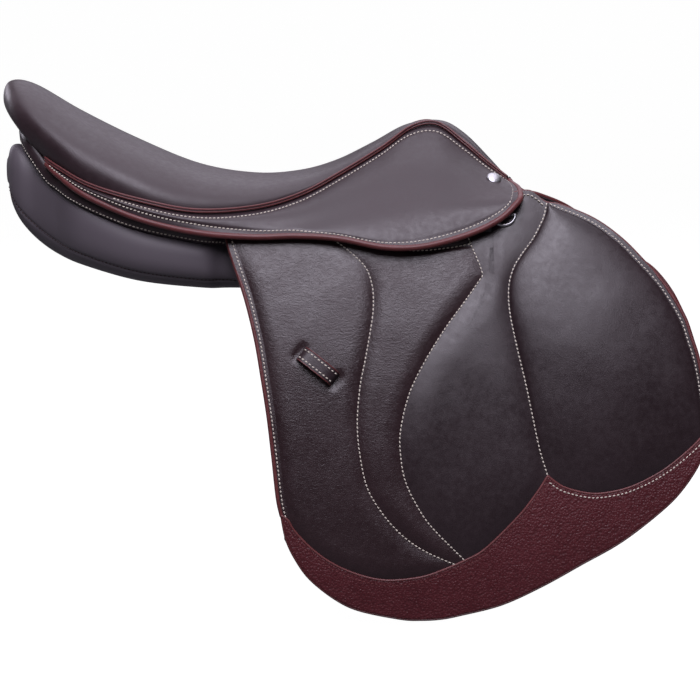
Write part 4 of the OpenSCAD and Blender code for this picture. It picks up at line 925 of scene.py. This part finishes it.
# Middle of the keeper on the flap, and the turn of its strip
KEEPER_X, KEEPER_S = flap_x(KEEPER_PLACE[0]), KEEPER_PLACE[1] * FLAP_DROP
KEEPER_COS, KEEPER_SIN = np.cos(KEEPER_TURN), np.sin(KEEPER_TURN)


def keeper_frame(along, aside, high):
    """Places in the keeper's own frame on the flap: along its strip, across it and outward."""
    return flap_point(KEEPER_X + along * KEEPER_COS - aside * KEEPER_SIN,
                      KEEPER_S + along * KEEPER_SIN + aside * KEEPER_COS, high)


def keeper_dent(x, s):
    """Dimples where the keeper's two ends go through the pad."""
    x, s = x - KEEPER_X, s - KEEPER_S
    along, aside = x * KEEPER_COS + s * KEEPER_SIN, s * KEEPER_COS - x * KEEPER_SIN
    end = np.abs(np.abs(along) - KEEPER_LENGTH / 2)
    reach, half = KEEPER_DENT_REACH
    return KEEPER_DENT * np.exp(-((end / reach) ** 2)) * np.exp(-((aside / half) ** 4))


def gap_to(p, line):
    """Distance in millimetres from each place on the flap to the nearest point of a line."""
    line = flap_even(line, 400) * FLAP_SIZE
    p = p * FLAP_SIZE
    gaps = (p[..., None, 0] - line[:, 0]) ** 2 + (p[..., None, 1] - line[:, 1]) ** 2
    return np.sqrt(gaps.min(-1))


def pad_floor(s):
    """Height of the pads' sewn edges: a little more over the thicker head, eased in below the fold."""
    return PAD_EDGE + PAD_LIFT * eased(30.0 - s, 40.0)


def pad_height(name, u, v, rise):
    """Height of a pad's leather above the flap's inner face: its sewn edge plus the rise times the rolled
    shoulders of its four sides, with a slight unevenness from hand padding. The knee pad is one dome: a
    power of the sine across times the sine down."""
    left, right, top, low, left_roll, right_roll, top_reach, low_reach = PADS[name]
    p = patch(left, right, top, low, u, v)
    if name == "knee_pad":
        wide = flap_gap(sample(right, v), sample(left, v))
        inner = np.maximum(wide - left_roll[0] - right_roll[0], 1.0)
        a = np.clip((u * wide - left_roll[0]) / inner, 0.0, 1.0)
        shape = np.maximum(np.sin(np.pi * a) * np.sin(np.pi * np.clip(v, 0.0, 1.0)), 0.0) ** KNEE_POWER
    else:
        shape = 1.0
        for line, flat, reach in ((left, *left_roll), (top, 0.0, top_reach), (right, *right_roll),
                                  (low, 0.0, low_reach)):
            shape = shape * stuffed(gap_to(p, line) - flat, reach)
    x, s = flap_x(p[..., 0]), p[..., 1] * FLAP_DROP
    uneven = (PAD_UNEVEN * np.sin(x / 19.0 + 1.3 * np.sin(s / 27.0))
              * np.cos(s / 23.0 + 0.9 * np.sin(x / 37.0)))
    floor = pad_floor(s)
    height = floor + (rise + PAD_EDGE - floor) * shape + uneven * shape
    if name == "rear_pad":
        height = height - keeper_dent(x, s) * shape
    if name == "centre_pad":
        line = traced(CENTRE_TOP)
        away = s - np.interp(p[..., 0], line[:, 0], line[:, 1]) * FLAP_DROP
        ends = eased(p[..., 0] - 0.37, 0.02), eased(0.53 - p[..., 0], 0.015)
        deep, half = CENTRE_VALLEY
        height = height - deep * groove(away, 0.0, half) * ends[0] * ends[1]
    return p, s, height


def inset(line, away):
    """A line on the flap moved sideways by a distance, square to its own run."""
    step = np.gradient(line, axis=0) * FLAP_SIZE
    aside = away * np.stack([-step[:, 1], step[:, 0]], -1) / np.linalg.norm(step, axis=1)[:, None]
    return line + aside / FLAP_SIZE


def dense(count, crowd=0.35):
    """Places from 0 to 1 that crowd towards both ends."""
    t = np.linspace(0.0, 1.0, count)
    return t - crowd * np.sin(2 * np.pi * t) / (2 * np.pi)


def rise_of(name):
    """Rise of a pad in millimetres."""
    return (sizes().knee_rise if name == "knee_pad" else sizes().pad_rise) / MM


def flap_blend(piece):
    """Bakes a leather's placement into its mesh; the fold's place and bend are worked out but not used."""
    out = flap_point(0.0, 0.0, FLAP_T + FOLD_OUT)
    down = FLAP_BEND * unit(flap_point(0.0, 1.0, 0.0) - flap_point(0.0, 0.0, 0.0))
    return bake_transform(piece)


def skirt_blend(piece):
    """Bakes the skirt's placement into its mesh; the fold's run and bend are worked out but not used."""
    run = unit(skirt_fold(1.0) - skirt_fold(0.0))
    drop = lip_drop(np.float64(0.5))
    drop = SKIRT_BEND * unit(drop - np.dot(drop, run) * run)
    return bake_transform(piece)


# ---------------------------------------------------------------- operators

class SADDLE_OT_seat(bpy.types.Operator):
    """Seat leather, the facings that close its ends, its foam and its web"""
    bl_idname = "saddle.seat"
    bl_label = "Seat"

    def execute(self, context):
        t, w = span(0, 1, 181, 97)
        skin = make("seat_cover", [shell(seat_layer(t, w), seat_layer(t, w, SEAT_LEATHER_T))],
                    "seat_leather")
        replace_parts(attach(skin, SADDLE), "seat_leather")
        depth = SEAT_LEATHER_T + 2 * CLEAR
        t, w = span(0, 1, 91, 49)
        pad = make("seat_padding", [shell(seat_layer(t, w, depth), floor_layer(t, w))], "seat_foam")
        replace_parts(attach(pad, SADDLE), "seat_foam")
        t, w = span(5 / 26, 18 / 26, 91, 15, -0.21, 0.21)
        web = make("seat_web_strip", [shell(floor_layer(t, w, CLEAR), floor_layer(t, w, CLEAR + SEAT_WEB_T))],
                   "linen_web")
        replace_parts(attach(web, SADDLE), "seat_web")
        k, w = span(0, 1, 13, 81, -0.97, 0.97)
        facings = []
        for end, forward in ((0.0, 1.0), (1.0, -1.0)):
            at = np.full_like(k, end)
            flat = mix(seat_layer(at, w, 1.0), floor_layer(at, w, 4.0 * (1 - end)), k[..., None])
            ahead = forward * np.array([0.5 + 0.6 * end, 0.0, 0.0])
            facings.append(shell(flat + ahead, flat - ahead))
        t = np.linspace(0.55, 1.0, 120)
        rim = np.concatenate([seat_side(SEAT_EDGE, t), seat_layer(np.ones(81), np.linspace(1, 0, 81))[1:]])
        rim = even(np.concatenate([rim, rim[-2::-1] * np.array([1.0, -1.0, 1.0])]), 241)
        band = band_path()
        band = even(band[band[:, 0] < -70.0], 241)
        inward = np.stack([2.0 + 0 * rim[:, 0], -0.02 * rim[:, 1], 0 * rim[:, 0]], -1)
        k = np.linspace(0, 1, 9)[:, None, None]
        wall = mix(rim + 0.5 * inward, band, k)
        facings.append(shell(wall, wall + inward))
        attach(make("seat_facings", facings, "skirt_leather"), SADDLE)
        return {"FINISHED"}


class SADDLE_OT_piping(bpy.types.Operator):
    """Twin piping cords in the seam between the seat and the skirts"""
    bl_idname = "saddle.piping"
    bl_label = "Piping"

    def execute(self, context):
        t = np.linspace(SKIRT_START, 1.0, 260)
        run = seat_side(SEAM_ROWS, t + 0.02) - seat_side(SEAM_ROWS, t - 0.02)
        out = outward(np.stack([-run[:, 1], run[:, 0], 0 * run[:, 0]], -1))
        middle = even(seat_side(SEAM_ROWS, t) + (PIPING_R + CLEAR) * out, 260)
        up = np.array([0.0, 0.0, 1.0])
        for side in SIDES:
            cords = [cord(middle + level * up, *PIPING_OVAL, up) for level in PIPING_LEVELS]
            piece = make(side + "_piping_cords", cords, "burgundy_edge", side)
            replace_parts(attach(piece, SADDLE), side + "_piping")
            core = cord(middle - 0.5 * out, *PIPING_CORE, up)
            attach(make(side + "_piping_core", [core], "skirt_leather", side), SADDLE)
        return {"FINISHED"}


class SADDLE_OT_skirts(bpy.types.Operator):
    """Skirts from the seat seam over their fold to the bound edge, with two stitched rows and a nail head"""
    bl_idname = "saddle.skirts"
    bl_label = "Skirts"

    def execute(self, context):
        t, q = span(SKIRT_START, 1, 241, 81, 0.0, 1.0)
        wide = skirt_width(t)
        outer = np.swapaxes(softened(np.swapaxes(skirt_layer(t, q, 0 * q * t), 0, 1), 70), 0, 1)
        bulge = SKIRT_BULGE * eased(t - 0.9, 0.1) * np.sin(np.pi * np.clip(q, 0.0, 1.0))
        outer = outer + bulge[..., None] * np.array([1.0, 0.0, 0.0])
        out = outward(np.cross(np.gradient(outer, axis=0), np.gradient(outer, axis=1)))
        high = np.minimum(SKIRT_HIGH, SKIRT_HIGH_SHARE * wide)
        low = np.minimum(SKIRT_LOW, SKIRT_LOW_SHARE * wide)
        deep, half = SKIRT_GROOVE
        sunk = deep * (groove(q * wide, high, half) + groove((1 - q) * wide, low, half))
        middle = outer - SKIRT_T / 2 * out
        path = softened(even(np.concatenate([middle[:, -1], middle[-1, -2::-1]]), 460), 22)[:-5]
        upper, lower = np.linspace(0.25, ROW_TURN, 460), np.linspace(ROW_TURN, 0.1, 500)
        high = np.minimum(SKIRT_HIGH / skirt_width(upper), SKIRT_HIGH_SHARE)
        low = np.minimum(SKIRT_LOW / skirt_width(lower), SKIRT_LOW_SHARE)
        turn = np.linspace(0, 1, 60)
        down = np.concatenate([upper, 0.976 + 0.004 * np.sin(np.pi * turn), lower])
        down = (down - SKIRT_START) / (1 - SKIRT_START)
        over = np.concatenate([high, mix(high[-1] + 0.02, 1 - low[0] - 0.02, turn), 1 - low])
        row = softened(np.stack([down, over], -1), 16)
        line, way = grid_at(outer, row[:, 0], row[:, 1]), unit(grid_at(out, row[:, 0], row[:, 1]))
        row = sewn(line - 0.4 * way, way)
        spot, facing = (grid_at(grid, *np.array(NAIL_PLACE)[:, None])[0] for grid in (outer, out))
        nail = domed(spot, unit(unit(facing) + NAIL_TILT))
        outer, inner = outer - sunk[..., None] * out, outer - SKIRT_T * out
        for side in SIDES:
            skin = make(side + "_skirt_cover", [shell(outer, inner)], "skirt_leather", side)
            skirt_blend(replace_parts(skin, side + "_skirt", side + "_skirt_lip"))
            roll = make(side + "_skirt_roll", [cord(path, BINDING_R, BINDING_R, [0, 0, 1.0], 14)],
                        "burgundy_edge", side)
            skirt_blend(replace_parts(roll, side + "_skirt_binding", side + "_lip_binding"))
            skirt_blend(make(side + "_skirt_stitches", [row], "thread", side))
            head = make(side + "_nail_head", [nail], "bright_metal", side)
            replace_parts(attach(head, SADDLE), side + "_saddle_nail")
        return {"FINISHED"}


class SADDLE_OT_flaps(bpy.types.Operator):
    """Base leather of the flaps, in one with their fixed heads, and its burgundy cut edge"""
    bl_idname = "saddle.flaps"
    bl_label = "Flaps"

    def execute(self, context):
        v, u = span(0, 1, 141, 121, 0.0, 1.0)
        u, v = np.broadcast_arrays(u, v)
        p = patch(EDGES["rear"], EDGES["front"], EDGES["head"], EDGES["bottom"], u, v)
        outer, inner = on_leather(p, base_top(p[..., 1] * FLAP_DROP)), on_leather(p, 0.0)
        hem = np.concatenate([head_part(HEM_START, FRONT_EDGE[0])[:-1], EDGES["front"]])
        lines = [flap_even(line, 320) for line in (EDGES["rear"], hem)]
        trims = [cord(on_leather(line, TRIM_HIGH), *TRIM_OVAL, leather_out(line)) for line in lines]
        for side in SIDES:
            skin = make(side + "_flap_leather", [shell(outer, inner)], "under_leather", side)
            flap_blend(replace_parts(skin, side + "_flap", side + "_flap_head"))
            flap_blend(make(side + "_flap_edge", trims, "burgundy_edge", side))
        return {"FINISHED"}


class SADDLE_OT_pads(bpy.types.Operator):
    """Quilted pads of the flaps between their sewn seams"""
    bl_idname = "saddle.pads"
    bl_label = "Flap pads"

    def execute(self, context):
        milled, calf = ("milled_leather", "dark_leather"), ("calf_leather", "smooth_leather")
        looks = {"rear_pad": milled, "centre_pad": milled, "calf_pad": calf, "knee_pad": calf}
        v, u = np.meshgrid(dense(181), dense(121), indexing="ij")
        for name, (look, slot) in looks.items():
            p, s, high = pad_height(name, u, v, rise_of(name))
            solid = shell(on_leather(p, high), on_leather(p, base_top(s) + PAD_LAID))
            for side in SIDES:
                piece = make(f"{side}_{name}_leather", [solid], look, side, 60.0)
                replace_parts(piece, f"{side}_{name}")
                flap_blend(piece)
        return {"FINISHED"}


class SADDLE_OT_flap_stitching(bpy.types.Operator):
    """Contrast stitching in the seams and along the hems of the flaps"""
    bl_idname = "saddle.flap_stitching"
    bl_label = "Flap stitching"

    def execute(self, context):
        hem = sizes().hem / MM
        rows = []
        for seam in ("rear_seam", "calf_seam", "knee_seam"):
            p = EDGES[seam]
            rows.append((on_leather(p, pad_floor(p[:, 1] * FLAP_DROP) + SEAM_THREAD), leather_out(p)))
        centre_high = PAD_EDGE + rise_of("centre_pad") - CENTRE_SINK
        for table, high in ((CENTRE_TOP, centre_high), (HEAD_HEM, HEAD_THREAD)):
            rows.append((on_leather(traced(table), high), leather_out(traced(table))))
        t = np.linspace(0.0, 1.0, 300)
        for name, at_right in (("rear_pad", False), ("knee_pad", True)):
            left, right = PADS[name][:2]
            wide = flap_gap(sample(right, t), sample(left, t))
            share = np.minimum(hem / np.maximum(wide, hem), 0.5)
            p, s, high = pad_height(name, 1 - share if at_right else share, t, rise_of(name))
            rows.append((on_leather(p, high + HEM_THREAD), flap_out(s)))
        for side in SIDES:
            piece = make(side + "_flap_stitches", [sewn(*row) for row in rows], "thread", side)
            flap_blend(piece)
        return {"FINISHED"}


class SADDLE_OT_guards(bpy.types.Operator):
    """Grained guards on the lower edges of the flaps, with their rims and stitching"""
    bl_idname = "saddle.guards"
    bl_label = "Flap guards"

    def execute(self, context):
        low = EDGES["bottom"]
        part = np.argmin(flap_gap(low, GUARD_CORNER))
        p, q = np.meshgrid(np.linspace(0, 1, 161), dense(33, 0.8), indexing="ij")
        halves = []
        for upper, lower in ((GUARD_TOP, low[:part + 1]), (GUARD_SCALLOP, low[part:])):
            upper, lower = sample(upper, p), sample(flap_even(lower, 200), p)
            halves.append((mix(upper, lower, q[..., None]), flap_gap(upper, lower), q))
        spread, wide, q = (np.concatenate([first, second[1:]]) for first, second in zip(*halves))
        top = FLAP_T + SEWN + GUARD_T
        high = top
        for (fall, reach), away in zip(GUARD_ROLLS, (q * wide, (1 - q) * wide)):
            high = high - fall * (1 - rolled(away, reach))
        solid = shell(on_leather(spread, high), on_leather(spread, FLAP_T + GUARD_LAID))
        lines = [flap_even(line, 420) for line in (np.concatenate([GUARD_TOP, GUARD_SCALLOP[1:]]), low)]
        rims = [cord(on_leather(line, level), *oval, leather_out(line))
                for line, (level, *oval) in zip(lines, GUARD_RIMS)]
        scallop, round_top = inset(GUARD_SCALLOP, SCALLOP_INSET)[6:-8], inset(GUARD_TOP, TONAL_INSET)[8:-8]
        row = lambda line, lift=0.0: [sewn(on_leather(line, top + GUARD_THREAD), leather_out(line), lift)]
        for side in SIDES:
            body = side + "_flap"
            skin = make(side + "_guard_leather", [solid], "grained_burgundy", side)
            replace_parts(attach(skin, body), side + "_flap_guard")
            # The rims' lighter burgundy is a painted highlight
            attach(make(side + "_guard_rims", rims, "burgundy_rim_highlight", side), body)
            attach(make(side + "_guard_stitches", row(scallop), "thread", side), body)
            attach(make(side + "_guard_tonal_stitches", row(round_top, TONAL_LIFT), "guard_thread",
                         side), body)
        return {"FINISHED"}


class SADDLE_OT_keepers(bpy.types.Operator):
    """Strap keepers: an arched strip with burgundy edges and two stitched rows"""
    bl_idname = "saddle.keepers"
    bl_label = "Keepers"

    def execute(self, context):
        base = PAD_EDGE + KEEPER_FOOT
        top = base + SEWN + KEEPER_GAP + KEEPER_T
        a = np.linspace(np.pi, 0.0, 61)
        c, s = np.cos(a), np.abs(np.sin(a))
        half = KEEPER_LENGTH / 2 - KEEPER_T / 2

        def arch(aside, extra):
            """Squared arch: along goes with a power of the cosine and height with one of the sine."""
            along = np.sign(c) * np.abs(c) ** KEEPER_SQUARE[0] * (half + extra)
            high = base - KEEPER_SINK + (top - base + KEEPER_CROWN + extra) * s ** KEEPER_SQUARE[1]
            if np.ndim(aside):
                along, high = along[:, None], high[:, None]
            return keeper_frame(along, aside, high)

        w = np.linspace(-1, 1, 13)[None, :] * (KEEPER_WIDTH / 2 - 0.6)
        strip = shell(arch(w, 0.0), arch(w, -KEEPER_T))
        centre = keeper_frame(0.0, 0.0, base)
        edges = [cord(even(arch(aside, -KEEPER_T / 2), 61), KEEPER_BEAD, KEEPER_T / 2 + EDGE_PROUD,
                      unit(even(arch(aside, 0.0), 61) - centre)) for aside in (-KEEPER_EDGE, KEEPER_EDGE)]
        lines = [even(arch(aside, 0.0), 90)[14:-14] for aside in (-KEEPER_ROW, KEEPER_ROW)]
        rows = [sewn(line, flap_out(np.full(len(line), KEEPER_S)), 0.05) for line in lines]
        for side in SIDES:
            body = side + "_flap"
            loop = make(side + "_keeper_strip", [strip], "skirt_leather", side)
            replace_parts(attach(loop, body), side + "_keeper")
            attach(make(side + "_keeper_edges", edges, "burgundy_edge", side), body)
            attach(make(side + "_keeper_stitches", rows, "thread", side), body)
        return {"FINISHED"}


class SADDLE_OT_underside(bpy.types.Operator):
    """Sweat flaps, girth webs and girth straps"""
    bl_idname = "saddle.underside"
    bl_label = "Sweat flaps and girth straps"

    def execute(self, context):
        v, u = span(0, 1, 81, 81, 0.0, 1.0)
        u, v = np.broadcast_arrays(u, v)
        front, low, rear, top = (traced(x) for x in (SWEAT_FRONT, SWEAT_LOW, SWEAT_REAR, SWEAT_TOP))
        p = patch(rear, front, top, low, u, v)
        skin = shell(on_leather(p, SWEAT_OUT), on_leather(p, SWEAT_OUT - SWEAT_T))
        border = softened(flap_even(np.concatenate([front, low[::-1][1:], rear[::-1][1:]]), 420), 10)
        edge = cord(on_leather(border, SWEAT_OUT - SWEAT_T / 2), SWEAT_EDGE, SWEAT_T / 2 + EDGE_PROUD,
                    leather_out(border))
        x = np.linspace(GIRTH_BACK, GIRTH_FRONT, 61)[:, None]
        drop = np.linspace(GIRTH_LOW, GIRTH_HIGH, 21)[None, :]
        web = [shell(flap_point(x, drop, WEB_OUT), flap_point(x, drop, WEB_OUT - WEB_T))]
        t = np.linspace(0.25, 0.6, 200)
        rail = floor_layer(t, np.full(200, 0.85), TREE_DEPTH + TREE_T / 2)
        x = np.linspace(GIRTH_BACK, GIRTH_RAIL, 41)[:, None]
        reach = np.stack([x[:, 0]] + [np.interp(-x[:, 0], -rail[:, 0], rail[:, k]) for k in (1, 2)], -1)
        reach = reach - np.array([0.0, 3 * CLEAR, 0.0])
        k = np.linspace(0, 1, 21)[None, :, None]
        into = WEB_T / np.sqrt(2) * np.array([0.0, 1.0, -1.0])
        web.append(shell(*(mix(flap_point(x, np.full((1, 1), GIRTH_HIGH), high), reach[:, None] + inward, k)
                           for high, inward in ((WEB_OUT, 0.0), (WEB_OUT - WEB_T, into)))))
        for side in SIDES:
            leaf = make(side + "_sweat_leather", [skin], "under_leather", side)
            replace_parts(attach(leaf, SADDLE), side + "_sweat_flap")
            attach(make(side + "_sweat_edge", [edge], "burgundy_edge", side), SADDLE)
            strip = make(side + "_girth_webbing", web, "linen_web", side)
            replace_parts(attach(strip, SADDLE), side + "_girth_web")
            for place in ("front", "middle", "rear"):
                body = f"{side}_{place}_strap"
                strap = copied(body, body + "_leather", "under_leather", 0.7)
                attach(strap, body)
        return {"FINISHED"}


class SADDLE_OT_panels(bpy.types.Operator):
    """Panel cushions with their sewn lower seam, the rolled band and the channel lining"""
    bl_idname = "saddle.panels"
    bl_label = "Panels"

    def execute(self, context):
        t, turn = np.linspace(0, 1, 181)[:, None], np.linspace(0, 360, 97)[None, :-1]
        deep, half = PANEL_GROOVE
        sunk = -deep * groove(turn - 360 * (turn > 180), PANEL_SEAM, half) * eased(t, 0.1) * eased(1 - t, 0.1)
        rings = panel_point(t, turn, sunk)
        middle = rings.mean(1, keepdims=True)
        caps = np.array([0.25, 0.55, 0.8])[:, None, None]
        first, last = (middle[k] + caps * (rings[k] - middle[k]) for k in ([0], [-1]))
        push = np.array([1.0, 0.0, 0.0]) * 2.0 * np.sqrt(1 - caps ** 2)
        skin = loft(np.concatenate([first - push, rings, (last + push)[::-1]]))
        s = np.linspace(0.04, 0.63, 300)
        turn = np.full(300, PANEL_SEAM)
        line = panel_point(s, turn, -0.95)
        out = unit(line - panel_point(s, turn, -6.0))
        tonal = sewn(line, out)
        path = band_path()
        up = np.array([0.0, 0.0, 1.0])
        band = cord(path, BAND_HALF_T, BAND_HALF_H, up, 20)
        run = unit(np.gradient(path, axis=0))
        away = unit(np.cross(np.broadcast_to(up, path.shape), run))
        away = np.where(np.sum(away * (path - path.mean(0)), -1, keepdims=True) < 0, -away, away)
        rise = np.cross(run, away)
        rise = np.where(rise[:, 2:] < 0, -rise, rise)
        c, s = np.cos(BAND_ROW), np.sin(BAND_ROW)
        foot = path + (BAND_HALF_T * c * away + BAND_HALF_H * s * rise)
        out = unit(c * away / BAND_HALF_T + s * rise / BAND_HALF_H)
        a = np.linspace(0, 1, 61)[:, None]
        edge = panel_point(mix(0.2, 0.9, a), np.full_like(a, LINING_TURN), CLEAR)
        w = np.linspace(-1, 1, 33)[None, :]
        high = edge[..., 2] + LINING_T * (3 - 2 * w * w)
        arch = lambda drop: np.stack(np.broadcast_arrays(edge[..., 0], -edge[..., 1] * w, high - drop), -1)
        for side in SIDES:
            cushion = make(side + "_panel_cushion", [skin], "panel_leather", side)
            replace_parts(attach(cushion, SADDLE), side + "_panel")
            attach(make(side + "_panel_stitches", [tonal], "tonal_thread", side), SADDLE)
        roll = make("panel_band_roll", [band], "skirt_leather")
        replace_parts(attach(roll, SADDLE), "panel_band")
        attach(make("panel_band_stitches", [sewn(foot, out)], "thread"), SADDLE)
        lining = make("channel_lining", [shell(arch(0.0), arch(LINING_T))], "under_leather")
        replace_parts(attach(lining, SADDLE), "panel_lining")
        return {"FINISHED"}


class SADDLE_OT_fittings(bpy.types.Operator):
    """Finishes of the tree, the metal fittings and the leather tabs of the dee rings"""
    bl_idname = "saddle.fittings"
    bl_label = "Tree and fittings"

    def execute(self, context):
        looks = dict.fromkeys(("head_plate", "tree_springs", "tree_rivets", "strap_rivets"), "plain_metal")
        looks["tree"] = "tree_moulding"
        for side in SIDES:
            looks[side + "_dee_ring"] = "bright_metal"
            looks[side + "_stirrup_bar"] = looks[side + "_bar_catch"] = "plain_metal"
            tab = copied(side + "_dee_chape", side + "_dee_tab", "skirt_leather", 0.35)
            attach(tab, SADDLE)
        for node, look in looks.items():
            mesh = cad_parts[node].data
            mesh.materials.clear()
            mesh.materials.append(finish(look))
        return {"FINISHED"}


class SADDLE_OT_stage(bpy.types.Operator):
    """Pale floor and backdrop, soft lights and the camera"""
    bl_idname = "saddle.stage"
    bl_label = "Studio"

    def execute(self, context):
        scene = context.scene
        scene.view_settings.view_transform = "Standard"
        pale = Finish("studio_floor", Specular_IOR_Level=0.0, Emission_Color=(1.0, 1.0, 1.0, 1.0))
        lit = pale.sums("MULTIPLY", pale.add("ShaderNodeLightPath").outputs["Is Camera Ray"], FLOOR_GLOW)
        pale.set(pale.shader, "Emission Strength", lit)
        speck = pale.noise(30.0, 2.0)
        colour = palette().floor
        pale.wear(pale.blend(speck, shade(colour, 0.995), shade(colour, 1.0)), pale.range(speck, 0.8, 0.9))
        a = np.linspace(0, 1, 41)
        back = np.clip((a - 0.5) / 0.25, 0, 1) * np.pi / 2
        y = np.where(a < 0.5, mix(FLOOR_FRONT, FLOOR_BACK, a / 0.5), FLOOR_BACK + BEND_R * np.sin(back))
        z = BEND_R * (1 - np.cos(back)) + np.clip((a - 0.75) / 0.25, 0, 1) * WALL_HIGH + FLOOR_LEVEL
        x = np.linspace(-FLOOR_HALF, FLOOR_HALF, 9)
        sweep = np.stack(np.broadcast_arrays(x[None, :], y[:, None], z[:, None]), -1)
        mesh = bpy.data.meshes.new("studio_sweep")
        mesh.from_pydata((sweep.reshape(-1, 3) * MM).tolist(), [], quads(41, 9).tolist())
        mesh.shade_smooth()
        mesh.materials.append(pale.material)
        floor = bpy.data.objects.new("studio_sweep", mesh)
        scene.collection.objects.link(floor)
        world = bpy.data.worlds.new("studio_world")
        world.use_nodes = True
        scene.world = world
        nodes, links = world.node_tree.nodes, world.node_tree.links
        nodes.clear()
        rays = nodes.new("ShaderNodeLightPath")
        seen = nodes.new("ShaderNodeMath")
        seen.operation = "MAXIMUM"
        links.new(rays.outputs["Is Camera Ray"], seen.inputs[0])
        links.new(rays.outputs["Is Transmission Ray"], seen.inputs[1])
        level = nodes.new("ShaderNodeMapRange")
        links.new(seen.outputs[0], level.inputs["Value"])
        level.inputs["To Min"].default_value = SKY_LEVEL
        level.inputs["To Max"].default_value = 1.0
        sky = nodes.new("ShaderNodeBackground")
        sky.inputs["Color"].default_value = (1.0, 1.0, 1.0, 1.0)
        links.new(level.outputs[0], sky.inputs["Strength"])
        links.new(sky.outputs[0], nodes.new("ShaderNodeOutputWorld").inputs["Surface"])
        for name, place, target, size, power in LAMPS:
            lamp = bpy.data.lights.new(name, "AREA")
            lamp.shape, lamp.size, lamp.energy = "DISK", size, power
            lamp.color = LAMP_COLOUR
            self.aim(scene, bpy.data.objects.new(name, lamp), place, target)
        lens = bpy.data.cameras.new("photo_camera")
        lens.sensor_width, lens.lens = CAMERA_SENSOR, CAMERA_LENS
        camera = bpy.data.objects.new("photo_camera", lens)
        self.aim(scene, camera, CAMERA_PLACE, CAMERA_TARGET)
        scene.camera = camera
        return {"FINISHED"}

    @staticmethod
    def aim(scene, thing, place, target):
        """Puts a lamp or camera at a place and points it at a target."""
        thing.location = place
        thing.rotation_euler = (Vector(target) - Vector(place)).to_track_quat("-Z", "Y").to_euler()
        scene.collection.objects.link(thing)


OPERATORS = (
    SADDLE_OT_stage, SADDLE_OT_seat, SADDLE_OT_piping, SADDLE_OT_skirts, SADDLE_OT_flaps, SADDLE_OT_pads,
    SADDLE_OT_flap_stitching, SADDLE_OT_guards, SADDLE_OT_keepers, SADDLE_OT_underside, SADDLE_OT_panels,
    SADDLE_OT_fittings,
)


class SADDLE_PT_sidebar(bpy.types.Panel):
    """Lists the saddle's pieces, sizes and colours"""
    bl_label = "Jumping Saddle"
    bl_idname = "SADDLE_PT_sidebar"
    bl_space_type = "VIEW_3D"
    bl_region_type = "UI"
    bl_category = "Saddle"

    def draw(self, context):
        for operator in OPERATORS:
            self.layout.operator(operator.bl_idname)
        for group in (context.scene.saddle_sizes, context.scene.saddle_colours):
            box = self.layout.box()
            for name in group.__annotations__:
                box.prop(group, name)


CLASSES = (SaddleColours, SaddleSizes, *OPERATORS, SADDLE_PT_sidebar)


def register():
    """Adds the classes and the two groups of settings to Blender."""
    for item in CLASSES:
        bpy.utils.register_class(item)
    bpy.types.Scene.saddle_colours = PointerProperty(type=SaddleColours)
    bpy.types.Scene.saddle_sizes = PointerProperty(type=SaddleSizes)


def unregister():
    """Takes them out again."""
    del bpy.types.Scene.saddle_sizes, bpy.types.Scene.saddle_colours
    for item in reversed(CLASSES):
        bpy.utils.unregister_class(item)


def main():
    """Adds the settings and builds the saddle piece by piece."""
    register()
    for operator in OPERATORS:
        group, name = operator.bl_idname.split(".")
        getattr(getattr(bpy.ops, group), name)()


if __name__ == "__main__":
    main()
